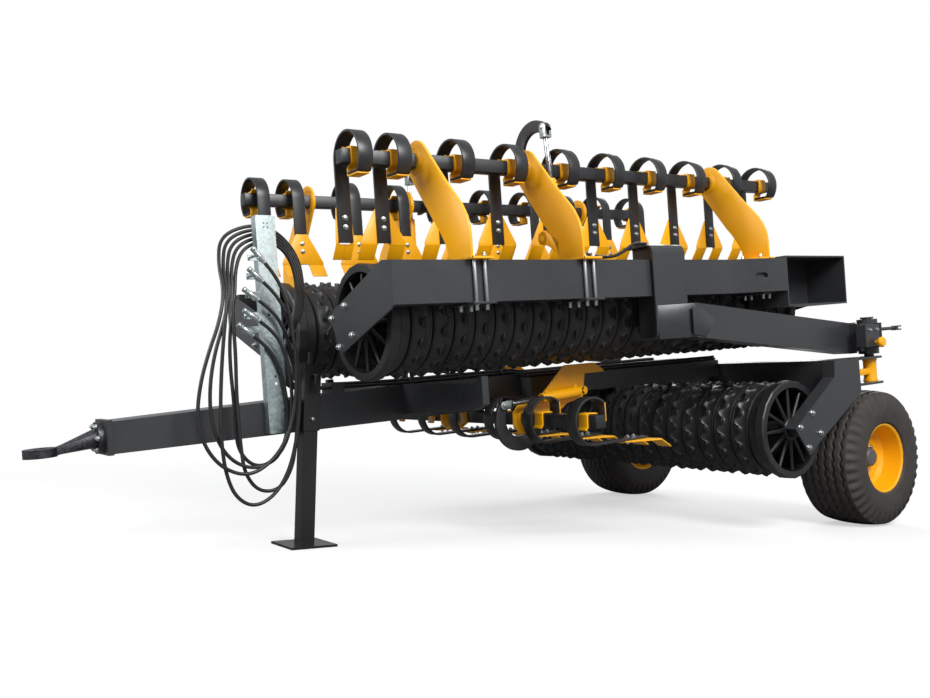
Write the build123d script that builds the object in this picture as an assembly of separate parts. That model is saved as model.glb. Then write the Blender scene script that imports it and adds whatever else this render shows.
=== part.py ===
from build123d import *
import math
import os

# A towed three-section land roller, parked with its wings folded forward.
# X points forwards along the drawbar, Y to the machine's left and Z up, in millimetres.
# The floor is Z = 0, below the middle of the transport axle.
# Everything but the wheels, the jack and the hoses is laid out level,
# then pitched nose down about the transport axle, as the machine parks.

# Stance
nose_down = 6.2
tyre_radius = 437.0
tyre_width = 400.0
half_track = 1045.0
rim_radius = 217.0

# Roller gangs: profiled rings side by side on a tube
ring_radius = 294.0
ring_root_radius = 262.0
end_ring_radius = 284.0
drum_bore = 236.0
ring_pitch = 126.0
ring_sides = 28
crest_lean = 18.0
crest_dip = 20.0
spoke_count = 12
roller_tube_radius = 45.0
hub_radius = 62.0

# Centre section: as many rings as its width holds
centre_half_width = 1240.0
ring_end_room = 80.0
centre_rings = int((centre_half_width - ring_end_room) * 2 / ring_pitch)
centre_roller_x = 825.0
centre_roller_z = 708.0
beam_rear = 270.0
centre_beam = 200.0
centre_beam_bottom = 896.0
plate = 10.0

# Folding wings
wing_rings = 25
wing_roller_y = 498.0
wing_roller_z = 1487.0
wing_roller_front = 3349.0
wing_beam_outer = 987.0
wing_beam_width = 180.0
wing_beam_bottom = 1541.0
wing_beam_height = 200.0
wing_front = 3440.0
pivot_x = 20.0
pivot_y = centre_half_width - 68.0
pivot_radius = 30.0

# Tine bars: a square bar with sprung tines, each with a forked paddle that ends just above
# the wing's rings
bar_size = 70.0
paddle_tip = 482.0
paddle_clearance = 15.0
wing_bar_y = 599.0
wing_bar_z = wing_roller_z + ring_radius + paddle_clearance + paddle_tip
centre_bar_x = 2250.0
centre_bar_z = 899.0
tine_radius = 130.0
tine_width = 66.0
tine_thickness = 12.0
leg_length = paddle_tip - 87.0
paddle_top = paddle_tip - 277.0
paddle_fork = paddle_tip - 82.0
paddle_plate = 8.0
tongue_bend = 46.0
bushing_radius = 62.0
running_clearance = 0.05
seat_gap = 0.3

# Drawbar
drawbar_half = 100.0
drawbar_bottom = 955.0
drawbar_front = 4450.0
leg_top = 1125.0
leg_height = 115.0

# Jack
jack_x = 3545.0
jack_y = 153.0
jack_leg = 76.0
jack_sleeve = 90.0
jack_plate = 250.0

# Hoses: they hang in loops from couplers on the holder's left and come back on its right
hose_diameter = 18.0
hose_layers = 22.0
layer_front = 172.0
layer_back = 84.0
hose_hangs = [
    # x and z down from the coupler, round the bottom of the loop and up to the holder's top
    [(3862, 1046), (3775, 990), (3715, 890), (3680, 770), (3662, 650), (3672, 530), (3725, 425),
     (3835, 400), (3918, 480), (3938, 600), (3951, 730), (3972, 870), (3982, 1000), (3978, 1120)],
    [(3850, 1222), (3765, 1170), (3700, 1070), (3655, 940), (3630, 800), (3622, 650), (3627, 510),
     (3643, 390), (3705, 288), (3814, 282), (3890, 370), (3914, 495), (3932, 630), (3948, 780),
     (3957, 940), (3975, 1100)],
    [(3852, 1118), (3770, 1070), (3710, 970), (3675, 840), (3662, 700), (3672, 560), (3730, 450),
     (3840, 393), (3957, 428), (4037, 520), (4080, 650), (4088, 800), (4070, 950), (4030, 1100)],
    [(3850, 1310), (3770, 1250), (3710, 1140), (3665, 1000), (3640, 850), (3632, 690), (3645, 530),
     (3680, 380), (3750, 265), (3855, 213), (3950, 265), (4003, 380), (4030, 530), (4040, 690),
     (4042, 850), (4038, 1000), (4030, 1140)],
    [(3852, 1400), (3790, 1340), (3735, 1235), (3700, 1110), (3675, 975), (3665, 840), (3668, 700),
     (3695, 565), (3770, 440), (3890, 365), (4020, 400), (4115, 500), (4160, 640), (4150, 800),
     (4115, 950), (4070, 1090)],
]
hose_way_back = [
    # x, z, share of the way to the back layer, how far the hoses spread in x and in z
    (3960, 1240, 0.10, 20, 0),
    (3950, 1370, 0.50, 22, 6),
    (3905, 1480, 1.00, 20, 18),
    (3815, 1535, 1.00, 6, 24),
    (3710, 1530, 1.00, -4, 24),
    (3635, 1455, 1.00, -18, 14),
    (3600, 1340, 1.00, -20, 4),
    (3600, 1215, 1.00, -20, -4),
    (3630, 1095, 1.00, -12, -2),
    (3662, 990, 1.00, -2, 0),
    (3655, 885, 1.00, 0, 0),
    (3590, 797, 1.00, 0, 0),
    (3485, 793.6, 1.00, 0, 0),
    (3385, 804.5, 1.00, 0, 0),
]

# Tines of one wing bar: place along the machine, half width of the paddle ahead and behind
wing_tines = [
    # x, ahead, behind
    (3387.0, 130.0, 72.0),
    (3169.0, 130.0, 130.0),
    (2789.0, 130.0, 130.0),
    (2439.0, 130.0, 130.0),
    (2064.0, 130.0, 130.0),
    (1711.0, 130.0, 130.0),
    (1356.0, 130.0, 130.0),
    (999.0, 130.0, 130.0),
    (647.0, 130.0, 130.0),
    (279.0, 130.0, 130.0),
]
centre_tine_spacing = 360.0
centre_tine_count = 6
wing_arm_places = [
    # x of the arm, how far its base plate reaches behind it
    (3030.0, 120.0),
    (2325.0, 120.0),
    (795.0, 50.0),
]
wing_lever_x = 2240.0
centre_arm_places = (-374.0, 360.0)
centre_lever_y = 445.0


def block(x0, x1, y0, y1, z0, z1):
    """A box between two corners."""
    centre = Pos((x0 + x1) / 2, (y0 + y1) / 2, (z0 + z1) / 2)
    return centre * Box(abs(x1 - x0), abs(y1 - y0), abs(z1 - z0))


def plate_yz(points, x, thickness):
    """A flat plate square to the machine's length, from its outline in Y and Z."""
    outline = Polyline([(x, y, z) for y, z in points], close=True)
    return extrude(make_face(outline), amount=thickness, dir=(1, 0, 0))


def plate_xz(points, y, thickness):
    """A flat plate along the machine's length, from its outline in X and Z."""
    outline = Polyline([(x, y, z) for x, z in points], close=True)
    return extrude(make_face(outline), amount=thickness, dir=(0, 1, 0))


def rod_x(radius, x0, x1, y, z):
    """A round bar along X."""
    return Pos((x0 + x1) / 2, y, z) * Rot(0, 90, 0) * Cylinder(radius, abs(x1 - x0))


def rod_y(radius, y0, y1, x, z):
    """A round bar along Y."""
    return Pos(x, (y0 + y1) / 2, z) * Rot(90, 0, 0) * Cylinder(radius, abs(y1 - y0))


def rod_z(radius, z0, z1, x, y):
    """A round bar along Z."""
    return Pos(x, y, (z0 + z1) / 2) * Cylinder(radius, abs(z1 - z0))


def mirrored(shape):
    """The same piece on the machine's right."""
    return mirror(shape, about=Plane.XZ)


def arc_points(centre_a, centre_b, radius, start, end, steps=3):
    """Points along an arc, its angles in degrees from the first axis."""
    angles = [math.radians(start + (end - start) * i / steps) for i in range(steps + 1)]
    return [(centre_a + radius * math.cos(a), centre_b + radius * math.sin(a)) for a in angles]


def capsule_y(length, radius, depth):
    """A long hole with round ends, through along Y, lying along X."""
    hole = block(-length / 2 + radius, length / 2 - radius, -depth / 2, depth / 2, -radius, radius)
    for x in (radius - length / 2, length / 2 - radius):
        hole += rod_y(radius, -depth / 2, depth / 2, x, 0)
    return hole


pitch_axis = Pos(0, 0, tyre_radius)
pitched = pitch_axis * Rot(0, nose_down, 0) * Pos(0, 0, -tyre_radius)

os.makedirs("parts", exist_ok=True)
written = []


def write(name, pieces, level=False):
    """Pitch a node's solids with the chassis, unless it stays level, and write them."""
    placed = [piece if level else pitched * piece for piece in pieces]
    solids = [solid for piece in placed for solid in piece.solids()]
    node = Compound(children=solids) if len(solids) > 1 else solids[0]
    export_step(node, f"parts/{name}.step")
    written.append(name)


# Roller gang along X from its rear face, shared by the three sections
def ring_corner(x, radius, i):
    """One corner of a many-sided section of a ring."""
    angle = 2 * math.pi * (i + 0.5) / ring_sides
    return (x, radius * math.cos(angle), radius * math.sin(angle))


def closed_polygon(x, radius):
    """The wire round one many-sided section."""
    return Wire.make_polygon([ring_corner(x, radius, i) for i in range(ring_sides)], close=True)


def crest_corner(middle, i, smooth):
    """A corner of a ring's crest: its lugs lean left and right in turn, with dips between."""
    if smooth:
        return ring_corner(middle, ring_radius, i)
    if i % 2:
        return ring_corner(middle, ring_radius - crest_dip, i)
    return ring_corner(middle + (crest_lean if i % 4 else -crest_lean), ring_radius, i)


def ring_drum(rings):
    """Profiled rings pushed together into one drum, open at both ends, with smooth end rings."""
    length = rings * ring_pitch
    faces = []
    for ring in range(rings):
        smooth = ring in (0, rings - 1)
        middle = (ring + 0.5) * ring_pitch
        for edge, order in ((ring, 1), (ring + 1, -1)):
            root = end_ring_radius if edge in (0, rings) else ring_root_radius
            for i in range(ring_sides):
                low = ring_corner(edge * ring_pitch, root, i)
                low_next = ring_corner(edge * ring_pitch, root, i + 1)
                top = crest_corner(middle, i % ring_sides, smooth)
                top_next = crest_corner(middle, (i + 1) % ring_sides, smooth)
                faces.append(Face(Wire.make_polygon([low, low_next, top_next][::order], close=True)))
                faces.append(Face(Wire.make_polygon([low, top_next, top][::order], close=True)))
    for i in range(ring_sides):
        faces.append(Face(Wire.make_polygon([
            ring_corner(0, drum_bore, i), ring_corner(length, drum_bore, i),
            ring_corner(length, drum_bore, i + 1), ring_corner(0, drum_bore, i + 1),
        ], close=True)))
    for x in (0, length):
        faces.append(Face(closed_polygon(x, end_ring_radius), [closed_polygon(x, drum_bore)]))
    drum = Solid(Shell(faces))
    return drum if drum.volume > 0 else -drum


def spoked_tube(rings, overhang):
    """The tube through a gang, with a spoked wheel inside each end ring."""
    length = rings * ring_pitch
    tube = rod_x(roller_tube_radius, -overhang, length + overhang, 0, 0)
    flat = drum_bore * math.cos(math.pi / ring_sides)
    pieces = [tube]
    for x in (10.0, length - 34.0):
        pieces.append(rod_x(hub_radius, x - 8.0, x + 32.0, 0, 0))
        for i in range(spoke_count):
            spoke = block(x, x + 24.0, -9.0, 9.0, hub_radius - 8.0, flat)
            pieces.append(Rot(360.0 * i / spoke_count, 0, 0) * spoke)
    return pieces[0].fuse(*pieces[1:])


bearing_reach = 60.0

# Centre section
beam_front = beam_rear + centre_beam
beam_top = centre_beam_bottom + centre_beam
centre_length = centre_rings * ring_pitch
main_beam = block(
    beam_rear, beam_front, -centre_half_width, centre_half_width, centre_beam_bottom, beam_top
)
end_outline = [
    (beam_rear, beam_top),
    (beam_front + 65.0, beam_top),
    (beam_front + 75.0, beam_top - 99.0),
    (centre_roller_x + 142.0, centre_roller_z + 22.0),
    (centre_roller_x + 12.0, centre_roller_z - 148.0),
    (centre_roller_x - 69.0, centre_roller_z - 90.0),
    (beam_rear - 5.0, beam_top - 213.0),
]
end_plate = plate_xz(end_outline, centre_half_width, plate)
lip_outline = [
    (beam_front + 65.0, beam_top),
    (beam_front + 75.0, beam_top - 99.0),
    (centre_roller_x + 142.0, centre_roller_z + 22.0),
    (centre_roller_x + 136.0, centre_roller_z + 15.0),
    (beam_front + 66.0, beam_top - 103.0),
    (beam_front + 56.0, beam_top),
]
end_lip = plate_xz(lip_outline, centre_half_width - 70.0, 70.0)
left_end = end_plate + end_lip
write("centre_beam", [main_beam.fuse(left_end, mirrored(left_end))])

bearing = rod_y(58.0, centre_half_width - 40.0, centre_half_width, centre_roller_x, centre_roller_z)
bearing += block(
    centre_roller_x - 78.0, centre_roller_x + 78.0, centre_half_width - 12.0, centre_half_width,
    centre_roller_z - 78.0, centre_roller_z + 78.0,
).rotate(Axis((centre_roller_x, 0, centre_roller_z), (0, 1, 0)), 32.0)
bearing -= rod_y(
    roller_tube_radius + running_clearance, 0, centre_half_width, centre_roller_x, centre_roller_z
)
write("centre_bearings", [bearing, mirrored(bearing)])

to_y = Pos(centre_roller_x, -centre_length / 2, centre_roller_z) * Rot(0, 0, 90)
write("centre_rings", [to_y * ring_drum(centre_rings)])
write("centre_roller_tube", [to_y * spoked_tube(centre_rings, centre_half_width - 1.0 - centre_length / 2)])

# Lugs and spool that the wing turns on, behind the beam's ends
lug_outline = [
    (beam_rear, centre_half_width),
    (pivot_x - 20.0, centre_half_width),
    (pivot_x - 70.0, pivot_y + 30.0),
    (pivot_x - 70.0, pivot_y - 50.0),
    (beam_rear, pivot_y - 120.0),
]


def lug(z, thickness):
    """One of the flat lugs that hold the fold pin."""
    outline = Polyline([(x, y, z) for x, y in lug_outline], close=True)
    face = extrude(make_face(outline), amount=thickness, dir=(0, 0, 1))
    return face - rod_z(pivot_radius, z - 5.0, z + thickness + 5.0, pivot_x, pivot_y)


lug_low = beam_top - 176.0
lug_high = beam_top - 14.0
lug_thickness = 14.0
pin_top = 1336.0
lugs = [lug(lug_low, lug_thickness), lug(lug_high, lug_thickness)]
pin = rod_z(pivot_radius, lug_low, pin_top, pivot_x, pivot_y)
cap = rod_z(pivot_radius + 16.0, pin_top, pin_top + 12.0, pivot_x, pivot_y)
left_lugs = lugs[0].fuse(lugs[1], pin, cap)
spool = rod_z(44.0, lug_low + lug_thickness, lug_high, pivot_x, pivot_y)
spool += block(pivot_x + 20.0, beam_rear, pivot_y - 20.0, pivot_y + 20.0, lug_low + 60.0, lug_low + 100.0)
spool -= rod_z(pivot_radius, lug_low, lug_high + 20.0, pivot_x, pivot_y)
write("fold_hinges", [left_lugs, mirrored(left_lugs), spool, mirrored(spool)])

# Two legs run forward from the beam to the drawbar
leg_inner_rear = 230.0
leg_width = 100.0
legs_meet = 2050.0
leg_bottom = leg_top - leg_height
leg_outline = [
    (beam_front, leg_inner_rear),
    (beam_front, leg_inner_rear + leg_width),
    (legs_meet, drawbar_half + leg_width),
    (legs_meet, drawbar_half),
]
leg_face = make_face(Polyline([(x, y, leg_bottom) for x, y in leg_outline], close=True))
leg = extrude(leg_face, amount=leg_height, dir=(0, 0, 1))
tie = block(1500.0, 1600.0, -170.0, 170.0, leg_bottom + 5.0, leg_top - 5.0)
write("frame_legs", [leg.fuse(mirrored(leg), tie)])

# Drawbar: a box that is deeper towards the rear
drawbar_rear = 1900.0
drawbar_outline = [
    (drawbar_rear, drawbar_bottom),
    (drawbar_front, drawbar_bottom),
    (drawbar_front, drawbar_bottom + 150.0),
    (2900.0, drawbar_bottom + 190.0),
    (drawbar_rear, drawbar_bottom + 190.0),
]
drawbar = plate_xz(drawbar_outline, -drawbar_half, 2 * drawbar_half)
drawbar_nose = block(
    drawbar_front, drawbar_front + 25.0, -drawbar_half - 5.0, drawbar_half + 5.0,
    drawbar_bottom - 5.0, drawbar_bottom + 158.0,
)
drawbar += drawbar_nose

# Cross plate that the folded wings rest over
rest_x = 2850.0
rest_half = 800.0
rest_bottom = 985.0
rest_top = 1150.0
hook_top = 1184.0
rest_outline = [
    (drawbar_half, rest_bottom),
    (rest_half - 40.0, rest_bottom + 30.0),
    (rest_half + 40.0, rest_bottom + 60.0),
    (rest_half + 40.0, hook_top),
    (rest_half + 8.0, hook_top),
    (rest_half, rest_top),
    (drawbar_half, rest_top),
]
rest = plate_yz(rest_outline, rest_x, 40.0)

# Towing eye, bolted to the drawbar's nose
eye_x = 4742.0
eye_z = 990.0
eye_outer = 72.0
eye_hole = 29.0
eye_thickness = 40.0
flange_face = drawbar_front + 25.0
flange = rod_x(74.0, flange_face, flange_face + 28.0, 0, drawbar_bottom + 76.0)
neck_root = Pos(flange_face + 28.0, 0, drawbar_bottom + 76.0) * Rot(0, 90, 0) * Circle(46.0)
neck_tip = Pos(eye_x - eye_outer + 10.0, 0, eye_z) * Rot(0, 90, 0) * Rectangle(34.0, 62.0)
neck = loft([neck_root.face(), neck_tip.face()], ruled=True)
eye = Pos(eye_x, 0, eye_z) * Cylinder(eye_outer, eye_thickness)
eye = flange.fuse(neck, eye) - Pos(eye_x, 0, eye_z) * Cylinder(eye_hole, eye_thickness + 10.0)
write("tow_eye", [eye])

# Hose holder: an upright folded channel on the drawbar's left side
holder_x = 3610.0
holder_width = 104.0
holder_depth = 54.0
holder_bottom = 966.0
holder_top = 2062.0
holder_side = drawbar_half
holder = block(holder_x, holder_x + holder_width, holder_side, holder_side + holder_depth,
               holder_bottom, holder_top)
holder -= block(holder_x - 1.0, holder_x + holder_width - 4.0, holder_side - 1.0,
                holder_side + holder_depth - 4.0, drawbar_bottom + 190.0, holder_top + 1.0)
holder -= block(holder_x - 1.0, holder_x + holder_width - 4.0, holder_side + 4.0,
                holder_side + holder_depth - 4.0, holder_bottom - 1.0, drawbar_bottom + 190.0)
holder_face = holder_side + holder_depth
holder_holes = [
    # x from the holder's middle, z, radius
    (0.0, 1215.0, 7.0), (0.0, 1250.0, 7.0), (-14.0, 1340.0, 7.0), (12.0, 1560.0, 7.0),
    (-10.0, 2022.0, 4.0), (10.0, 2022.0, 4.0), (-10.0, 2002.0, 4.0), (10.0, 2002.0, 4.0),
]
for x, z, radius in holder_holes:
    holder -= rod_y(radius, holder_face - 6.0, holder_face + 1.0, holder_x + holder_width / 2 + x, z)


def laid_out(x, z):
    """A place of the parked machine, in the frame that the chassis is laid out in."""
    tilt = math.radians(nose_down)
    return (
        x * math.cos(tilt) - (z - tyre_radius) * math.sin(tilt),
        tyre_radius + x * math.sin(tilt) + (z - tyre_radius) * math.cos(tilt),
    )


# Hoses: each keeps to its own layer beside the holder, and to another behind it
def hose_route(index):
    """The points of one hose, from its coupler to the gland on the drawbar."""
    front = layer_front + hose_layers * index
    back = layer_back - hose_layers * index
    route = [Vector(x, front, z) for x, z in hose_hangs[index]]
    for x, z, share, spread_x, spread_z in hose_way_back:
        route.append(Vector(x + spread_x * index, front + (back - front) * share, z + spread_z * index))
    return route


def hose(route):
    """A tube of straight runs with an arc at each corner, as wide as its runs allow."""
    radii = []
    for before, corner, after in zip(route, route[1:], route[2:]):
        turn = math.radians((corner - before).get_angle(after - corner))
        radii.append(0.45 * min((corner - before).length, (after - corner).length) / math.tan(turn / 2))
    path = FilletPolyline(*route, radius=radii)
    section = Plane(origin=route[0], z_dir=(route[1] - route[0]).normalized()) * Circle(hose_diameter / 2)
    tube = sweep(section, path=path)
    share = tube.volume / (math.pi * hose_diameter ** 2 / 4 * path.length)
    print("hose", round(path.length), "mm, tightest radius", round(min(radii)), "volume share", round(share, 4))
    return tube


coupler_length = 95.0
coupler_radius = 13.0
coupler_middle = 50.0
finger_height = 32.0
for index in range(len(hose_hangs)):
    route = hose_route(index)
    write(f"hose_{index + 1}", [hose(route)], level=True)
    up = (route[0] - route[1]).normalized()
    middle = route[0] + up * coupler_middle
    middle_x, middle_z = laid_out(middle.X, middle.Z)
    low = Plane(origin=route[0] + up * seat_gap, z_dir=up)
    coupler = low * Pos(0, 0, coupler_length / 2) * Cylinder(coupler_radius, coupler_length)
    coupler += low * Pos(0, 0, 30.0) * Cylinder(coupler_radius + 4.0, 24.0)
    holder += block(holder_x + holder_width - 4.0, middle_x + 10.0, holder_face - 4.0, holder_face,
                    middle_z - finger_height / 2, middle_z + finger_height / 2)
    holder += rod_y(7.0, holder_face - 2.0, route[0].Y, middle_x, middle_z)
    holder += pitched.inverse() * coupler
write("hose_holder", [holder])

# Gland block that the hoses go into, on top of the drawbar
gland_length = 70.0
gland_top = 1192.0
last_point = hose_route(0)[-1]
gland_face, _ = laid_out(last_point.X, last_point.Z)
gland_front = gland_face - seat_gap


def drawbar_top(x):
    """Height of the drawbar's upper side, which falls towards the eye."""
    fall = 40.0 / (drawbar_front - 2900.0)
    return drawbar_bottom + 190.0 - max(x - 2900.0, 0.0) * fall


gland = plate_xz([
    (gland_front - gland_length, drawbar_top(gland_front - gland_length)),
    (gland_front, drawbar_top(gland_front)),
    (gland_front, gland_top),
    (gland_front - gland_length, gland_top),
], layer_back - hose_layers * 4 - 22.0, hose_layers * 4 + 38.0)
drawbar = drawbar.fuse(gland)
write("drawbar", [drawbar.fuse(rest, mirrored(rest))])

# Jack: a sleeve on the drawbar, and a leg that slides in it; it stands upright
sleeve_half = jack_sleeve / 2
leg_half = jack_leg / 2
jack_bottom = 580.0
jack_top = 920.0
sleeve = block(jack_x - sleeve_half, jack_x + sleeve_half, jack_y - sleeve_half, jack_y + sleeve_half,
               jack_bottom, jack_top)
sleeve -= block(jack_x - leg_half - running_clearance, jack_x + leg_half + running_clearance,
                jack_y - leg_half - running_clearance, jack_y + leg_half + running_clearance,
                jack_bottom - 1.0, jack_top - 8.0)
grip = rod_z(9.0, jack_top, jack_top + 62.0, jack_x, jack_y)
saddle_depth = jack_y - sleeve_half - drawbar_half
saddle = block(jack_x - 70.0, jack_x + 70.0, drawbar_half + 0.2, jack_y - sleeve_half,
               jack_bottom + 30.0, jack_bottom + 140.0)
write("jack_sleeve", [sleeve.fuse(grip, saddle)], level=True)
jack_foot = 12.0
jack_overlap = 100.0
inner_leg = block(jack_x - leg_half, jack_x + leg_half, jack_y - leg_half, jack_y + leg_half,
                  jack_foot, jack_bottom + jack_overlap)
foot = block(jack_x - jack_plate / 2, jack_x + jack_plate / 2, jack_y - jack_plate / 2,
             jack_y + jack_plate / 2, 0.0, jack_foot)
write("jack_leg", [inner_leg + foot], level=True)

# Transport wheels, level with the floor
tyre_half = tyre_width / 2
tyre_profile = [
    # half width, radius
    (tyre_half - 22.0, rim_radius + 4.0),
    (tyre_half, rim_radius + 62.0),
    (tyre_half, tyre_radius - 92.0),
    (tyre_half - 22.0, tyre_radius - 30.0),
    (tyre_half - 62.0, tyre_radius),
]


def wheel_face(points):
    """A closed outline across the wheel, given on its outer half, mirrored to the inner."""
    outline = [(y, r) for y, r in points] + [(-y, r) for y, r in reversed(points)]
    return make_face(Polyline([(0, y, r) for y, r in outline], close=True))


def turned(face):
    """A wheel turned from its outline about the Y axis."""
    return revolve(face, axis=Axis.Y)


tyre = turned(wheel_face(tyre_profile))
rim_barrel = turned(make_face(Polyline(
    [(0, y, r) for y, r in (
        (tyre_half - 22.0, rim_radius - 10.0), (tyre_half - 22.0, rim_radius + 3.7),
        (22.0 - tyre_half, rim_radius + 3.7), (22.0 - tyre_half, rim_radius - 10.0),
    )], close=True)))
disc_y = 30.0
rim_disc = turned(make_face(Polyline(
    [(0, y, r) for y, r in (
        (disc_y, 0.0), (disc_y, 120.0), (disc_y - 36.0, rim_radius - 9.0),
        (disc_y - 50.0, rim_radius - 9.0), (disc_y - 14.0, 118.0), (disc_y - 14.0, 0.0),
    )], close=True)))
hub = turned(make_face(Polyline(
    [(0, y, r) for y, r in (
        (disc_y, 0.0), (disc_y, 72.0), (disc_y + 60.0, 62.0), (disc_y + 66.0, 40.0), (disc_y + 66.0, 0.0),
    )], close=True)))
inner_hub = turned(make_face(Polyline(
    [(0, y, r) for y, r in (
        (disc_y - 14.0, 0.0), (disc_y - 14.0, 70.0), (disc_y - 120.0, 70.0), (disc_y - 120.0, 0.0),
    )], close=True)))
wheel_place = Pos(0, half_track, tyre_radius)
for side, flip in (("left", False), ("right", True)):
    pieces = {
        "tyre": tyre,
        "rim": rim_barrel + rim_disc,
        "hub": hub.fuse(inner_hub),
    }
    for kind, piece in pieces.items():
        placed = wheel_place * piece
        write(f"{kind}_{side}", [mirrored(placed) if flip else placed], level=True)

# Rockers that carry the wheels from the beam, with their stub axles
rocker_y = 760.0
rocker_width = 90.0
rocker_outline = [
    (beam_rear - 6.0, beam_top - 4.0),
    (beam_rear, centre_beam_bottom),
    (beam_rear + 130.0, centre_beam_bottom),
    (beam_rear + 120.0, centre_beam_bottom - 90.0),
    (70.0, tyre_radius - 40.0),
    (-60.0, tyre_radius - 60.0),
    (-75.0, tyre_radius + 50.0),
    (120.0, centre_beam_bottom - 40.0),
    (150.0, beam_top - 60.0),
]
rocker = plate_xz(rocker_outline, rocker_y - rocker_width / 2, rocker_width)
hub_inner = half_track + disc_y - 120.0
stub = rod_y(34.0, rocker_y + rocker_width / 2, hub_inner, 0, tyre_radius)
write("wheel_rockers", [rocker + stub, mirrored(rocker + stub)])

# One wing, drawn on the left
wing_rear = wing_roller_front - wing_rings * ring_pitch
beam_inner = wing_beam_outer - wing_beam_width
wing_beam_top = wing_beam_bottom + wing_beam_height
box_rear = 112.0
box_front = 735.0
box_low = 1447.0
box_high = 1753.0
box_out = 1100.0
box_wall = 10.0
box_taper = 1120.0


def wing_weldment():
    """The wing beam, its end brackets and the open box at its rear end."""
    beam = block(box_front - 20.0, wing_front, beam_inner, wing_beam_outer, wing_beam_bottom, wing_beam_top)
    front_bracket = plate_yz([
        (wing_beam_outer, wing_beam_top),
        (wing_beam_outer - 84.0, wing_beam_top + 8.0),
        (wing_roller_y - 90.0, wing_roller_z + 68.0),
        (wing_roller_y - 111.0, wing_roller_z),
        (wing_roller_y - 27.0, wing_roller_z - 147.0),
        (wing_beam_outer - 27.0, wing_beam_bottom - 17.0),
        (wing_beam_outer, wing_beam_bottom),
    ], wing_front, plate)
    inner = beam_inner + 6.0
    shell = block(box_rear, box_front, inner, box_out, box_low, box_high)
    room = block(box_rear - 1.0 + box_wall, box_front - box_wall, inner + box_wall, box_out + 1.0,
                 box_low + box_wall, box_high - box_wall)
    flare = extrude(make_face(Polyline([
        (box_front - 0.1, wing_beam_outer - 40.0, wing_beam_bottom),
        (box_taper, wing_beam_outer - 2.0, wing_beam_bottom),
        (box_front - 0.1, box_out, wing_beam_bottom),
    ], close=True)), amount=wing_beam_height, dir=(0, 0, 1))
    rear_bracket = plate_yz([
        (inner + 4.0, wing_roller_z + 150.0),
        (wing_roller_y - 60.0, wing_roller_z + 95.0),
        (wing_roller_y - 100.0, wing_roller_z),
        (wing_roller_y - 40.0, wing_roller_z - 110.0),
        (inner + 4.0, box_low + 2.0),
    ], wing_rear - bearing_reach - plate - 21.0, plate)
    wall_hole = Pos(450.0, inner + box_wall / 2, 1620.0) * capsule_y(110.0, 20.0, 3 * box_wall)
    floor_hole = rod_z(20.0, box_low - 5.0, box_low + box_wall + 5.0, 400.0, box_out - 110.0)
    slant = math.degrees(math.atan2(wing_beam_outer - box_out, box_taper - box_front))
    flare_middle = Pos((box_front + box_taper) / 2 - 20.0, (wing_beam_outer + box_out) / 2, wing_beam_bottom + 95.0)
    flare_hole = flare_middle * Rot(0, 0, slant) * capsule_y(90.0, 20.0, 30.0)
    shell = shell - room - wall_hole - floor_hole
    return beam.fuse(front_bracket, shell, flare - flare_hole, rear_bracket)


def wing_bearings():
    """Flanged bearings at the two ends of a wing's roller."""
    pieces = []
    rear_face = wing_rear - bearing_reach - 21.0
    for x0, x1, flange_x in (
        (wing_front - 34.0, wing_front, wing_front - 12.0),
        (rear_face, rear_face + 34.0, rear_face),
    ):
        piece = rod_x(58.0, x0, x1, wing_roller_y, wing_roller_z)
        square = block(flange_x, flange_x + 12.0, wing_roller_y - 92.0, wing_roller_y + 92.0,
                       wing_roller_z - 92.0, wing_roller_z + 92.0)
        piece += square.rotate(Axis((0, wing_roller_y, wing_roller_z), (1, 0, 0)), 21.0)
        piece -= rod_x(roller_tube_radius + running_clearance, x0 - 5.0, x1 + 5.0,
                       wing_roller_y, wing_roller_z)
        pieces.append(piece)
    return pieces


carrier_front = 1805.0
carrier_rear = 1545.0
carrier_low = 1300.0
carrier_high = 1826.0
carrier_wall = 12.0
carrier_bend = 44.0
carrier_out = 1012.0
arm_outer = pivot_y - 54.0
arm_inner = pivot_y - 170.0
sleeve_radius = 62.0
sleeve_low = 1112.0
latch_y = pivot_y + 58.0
latch_z = 1265.0
fork_end = -255.0


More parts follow.
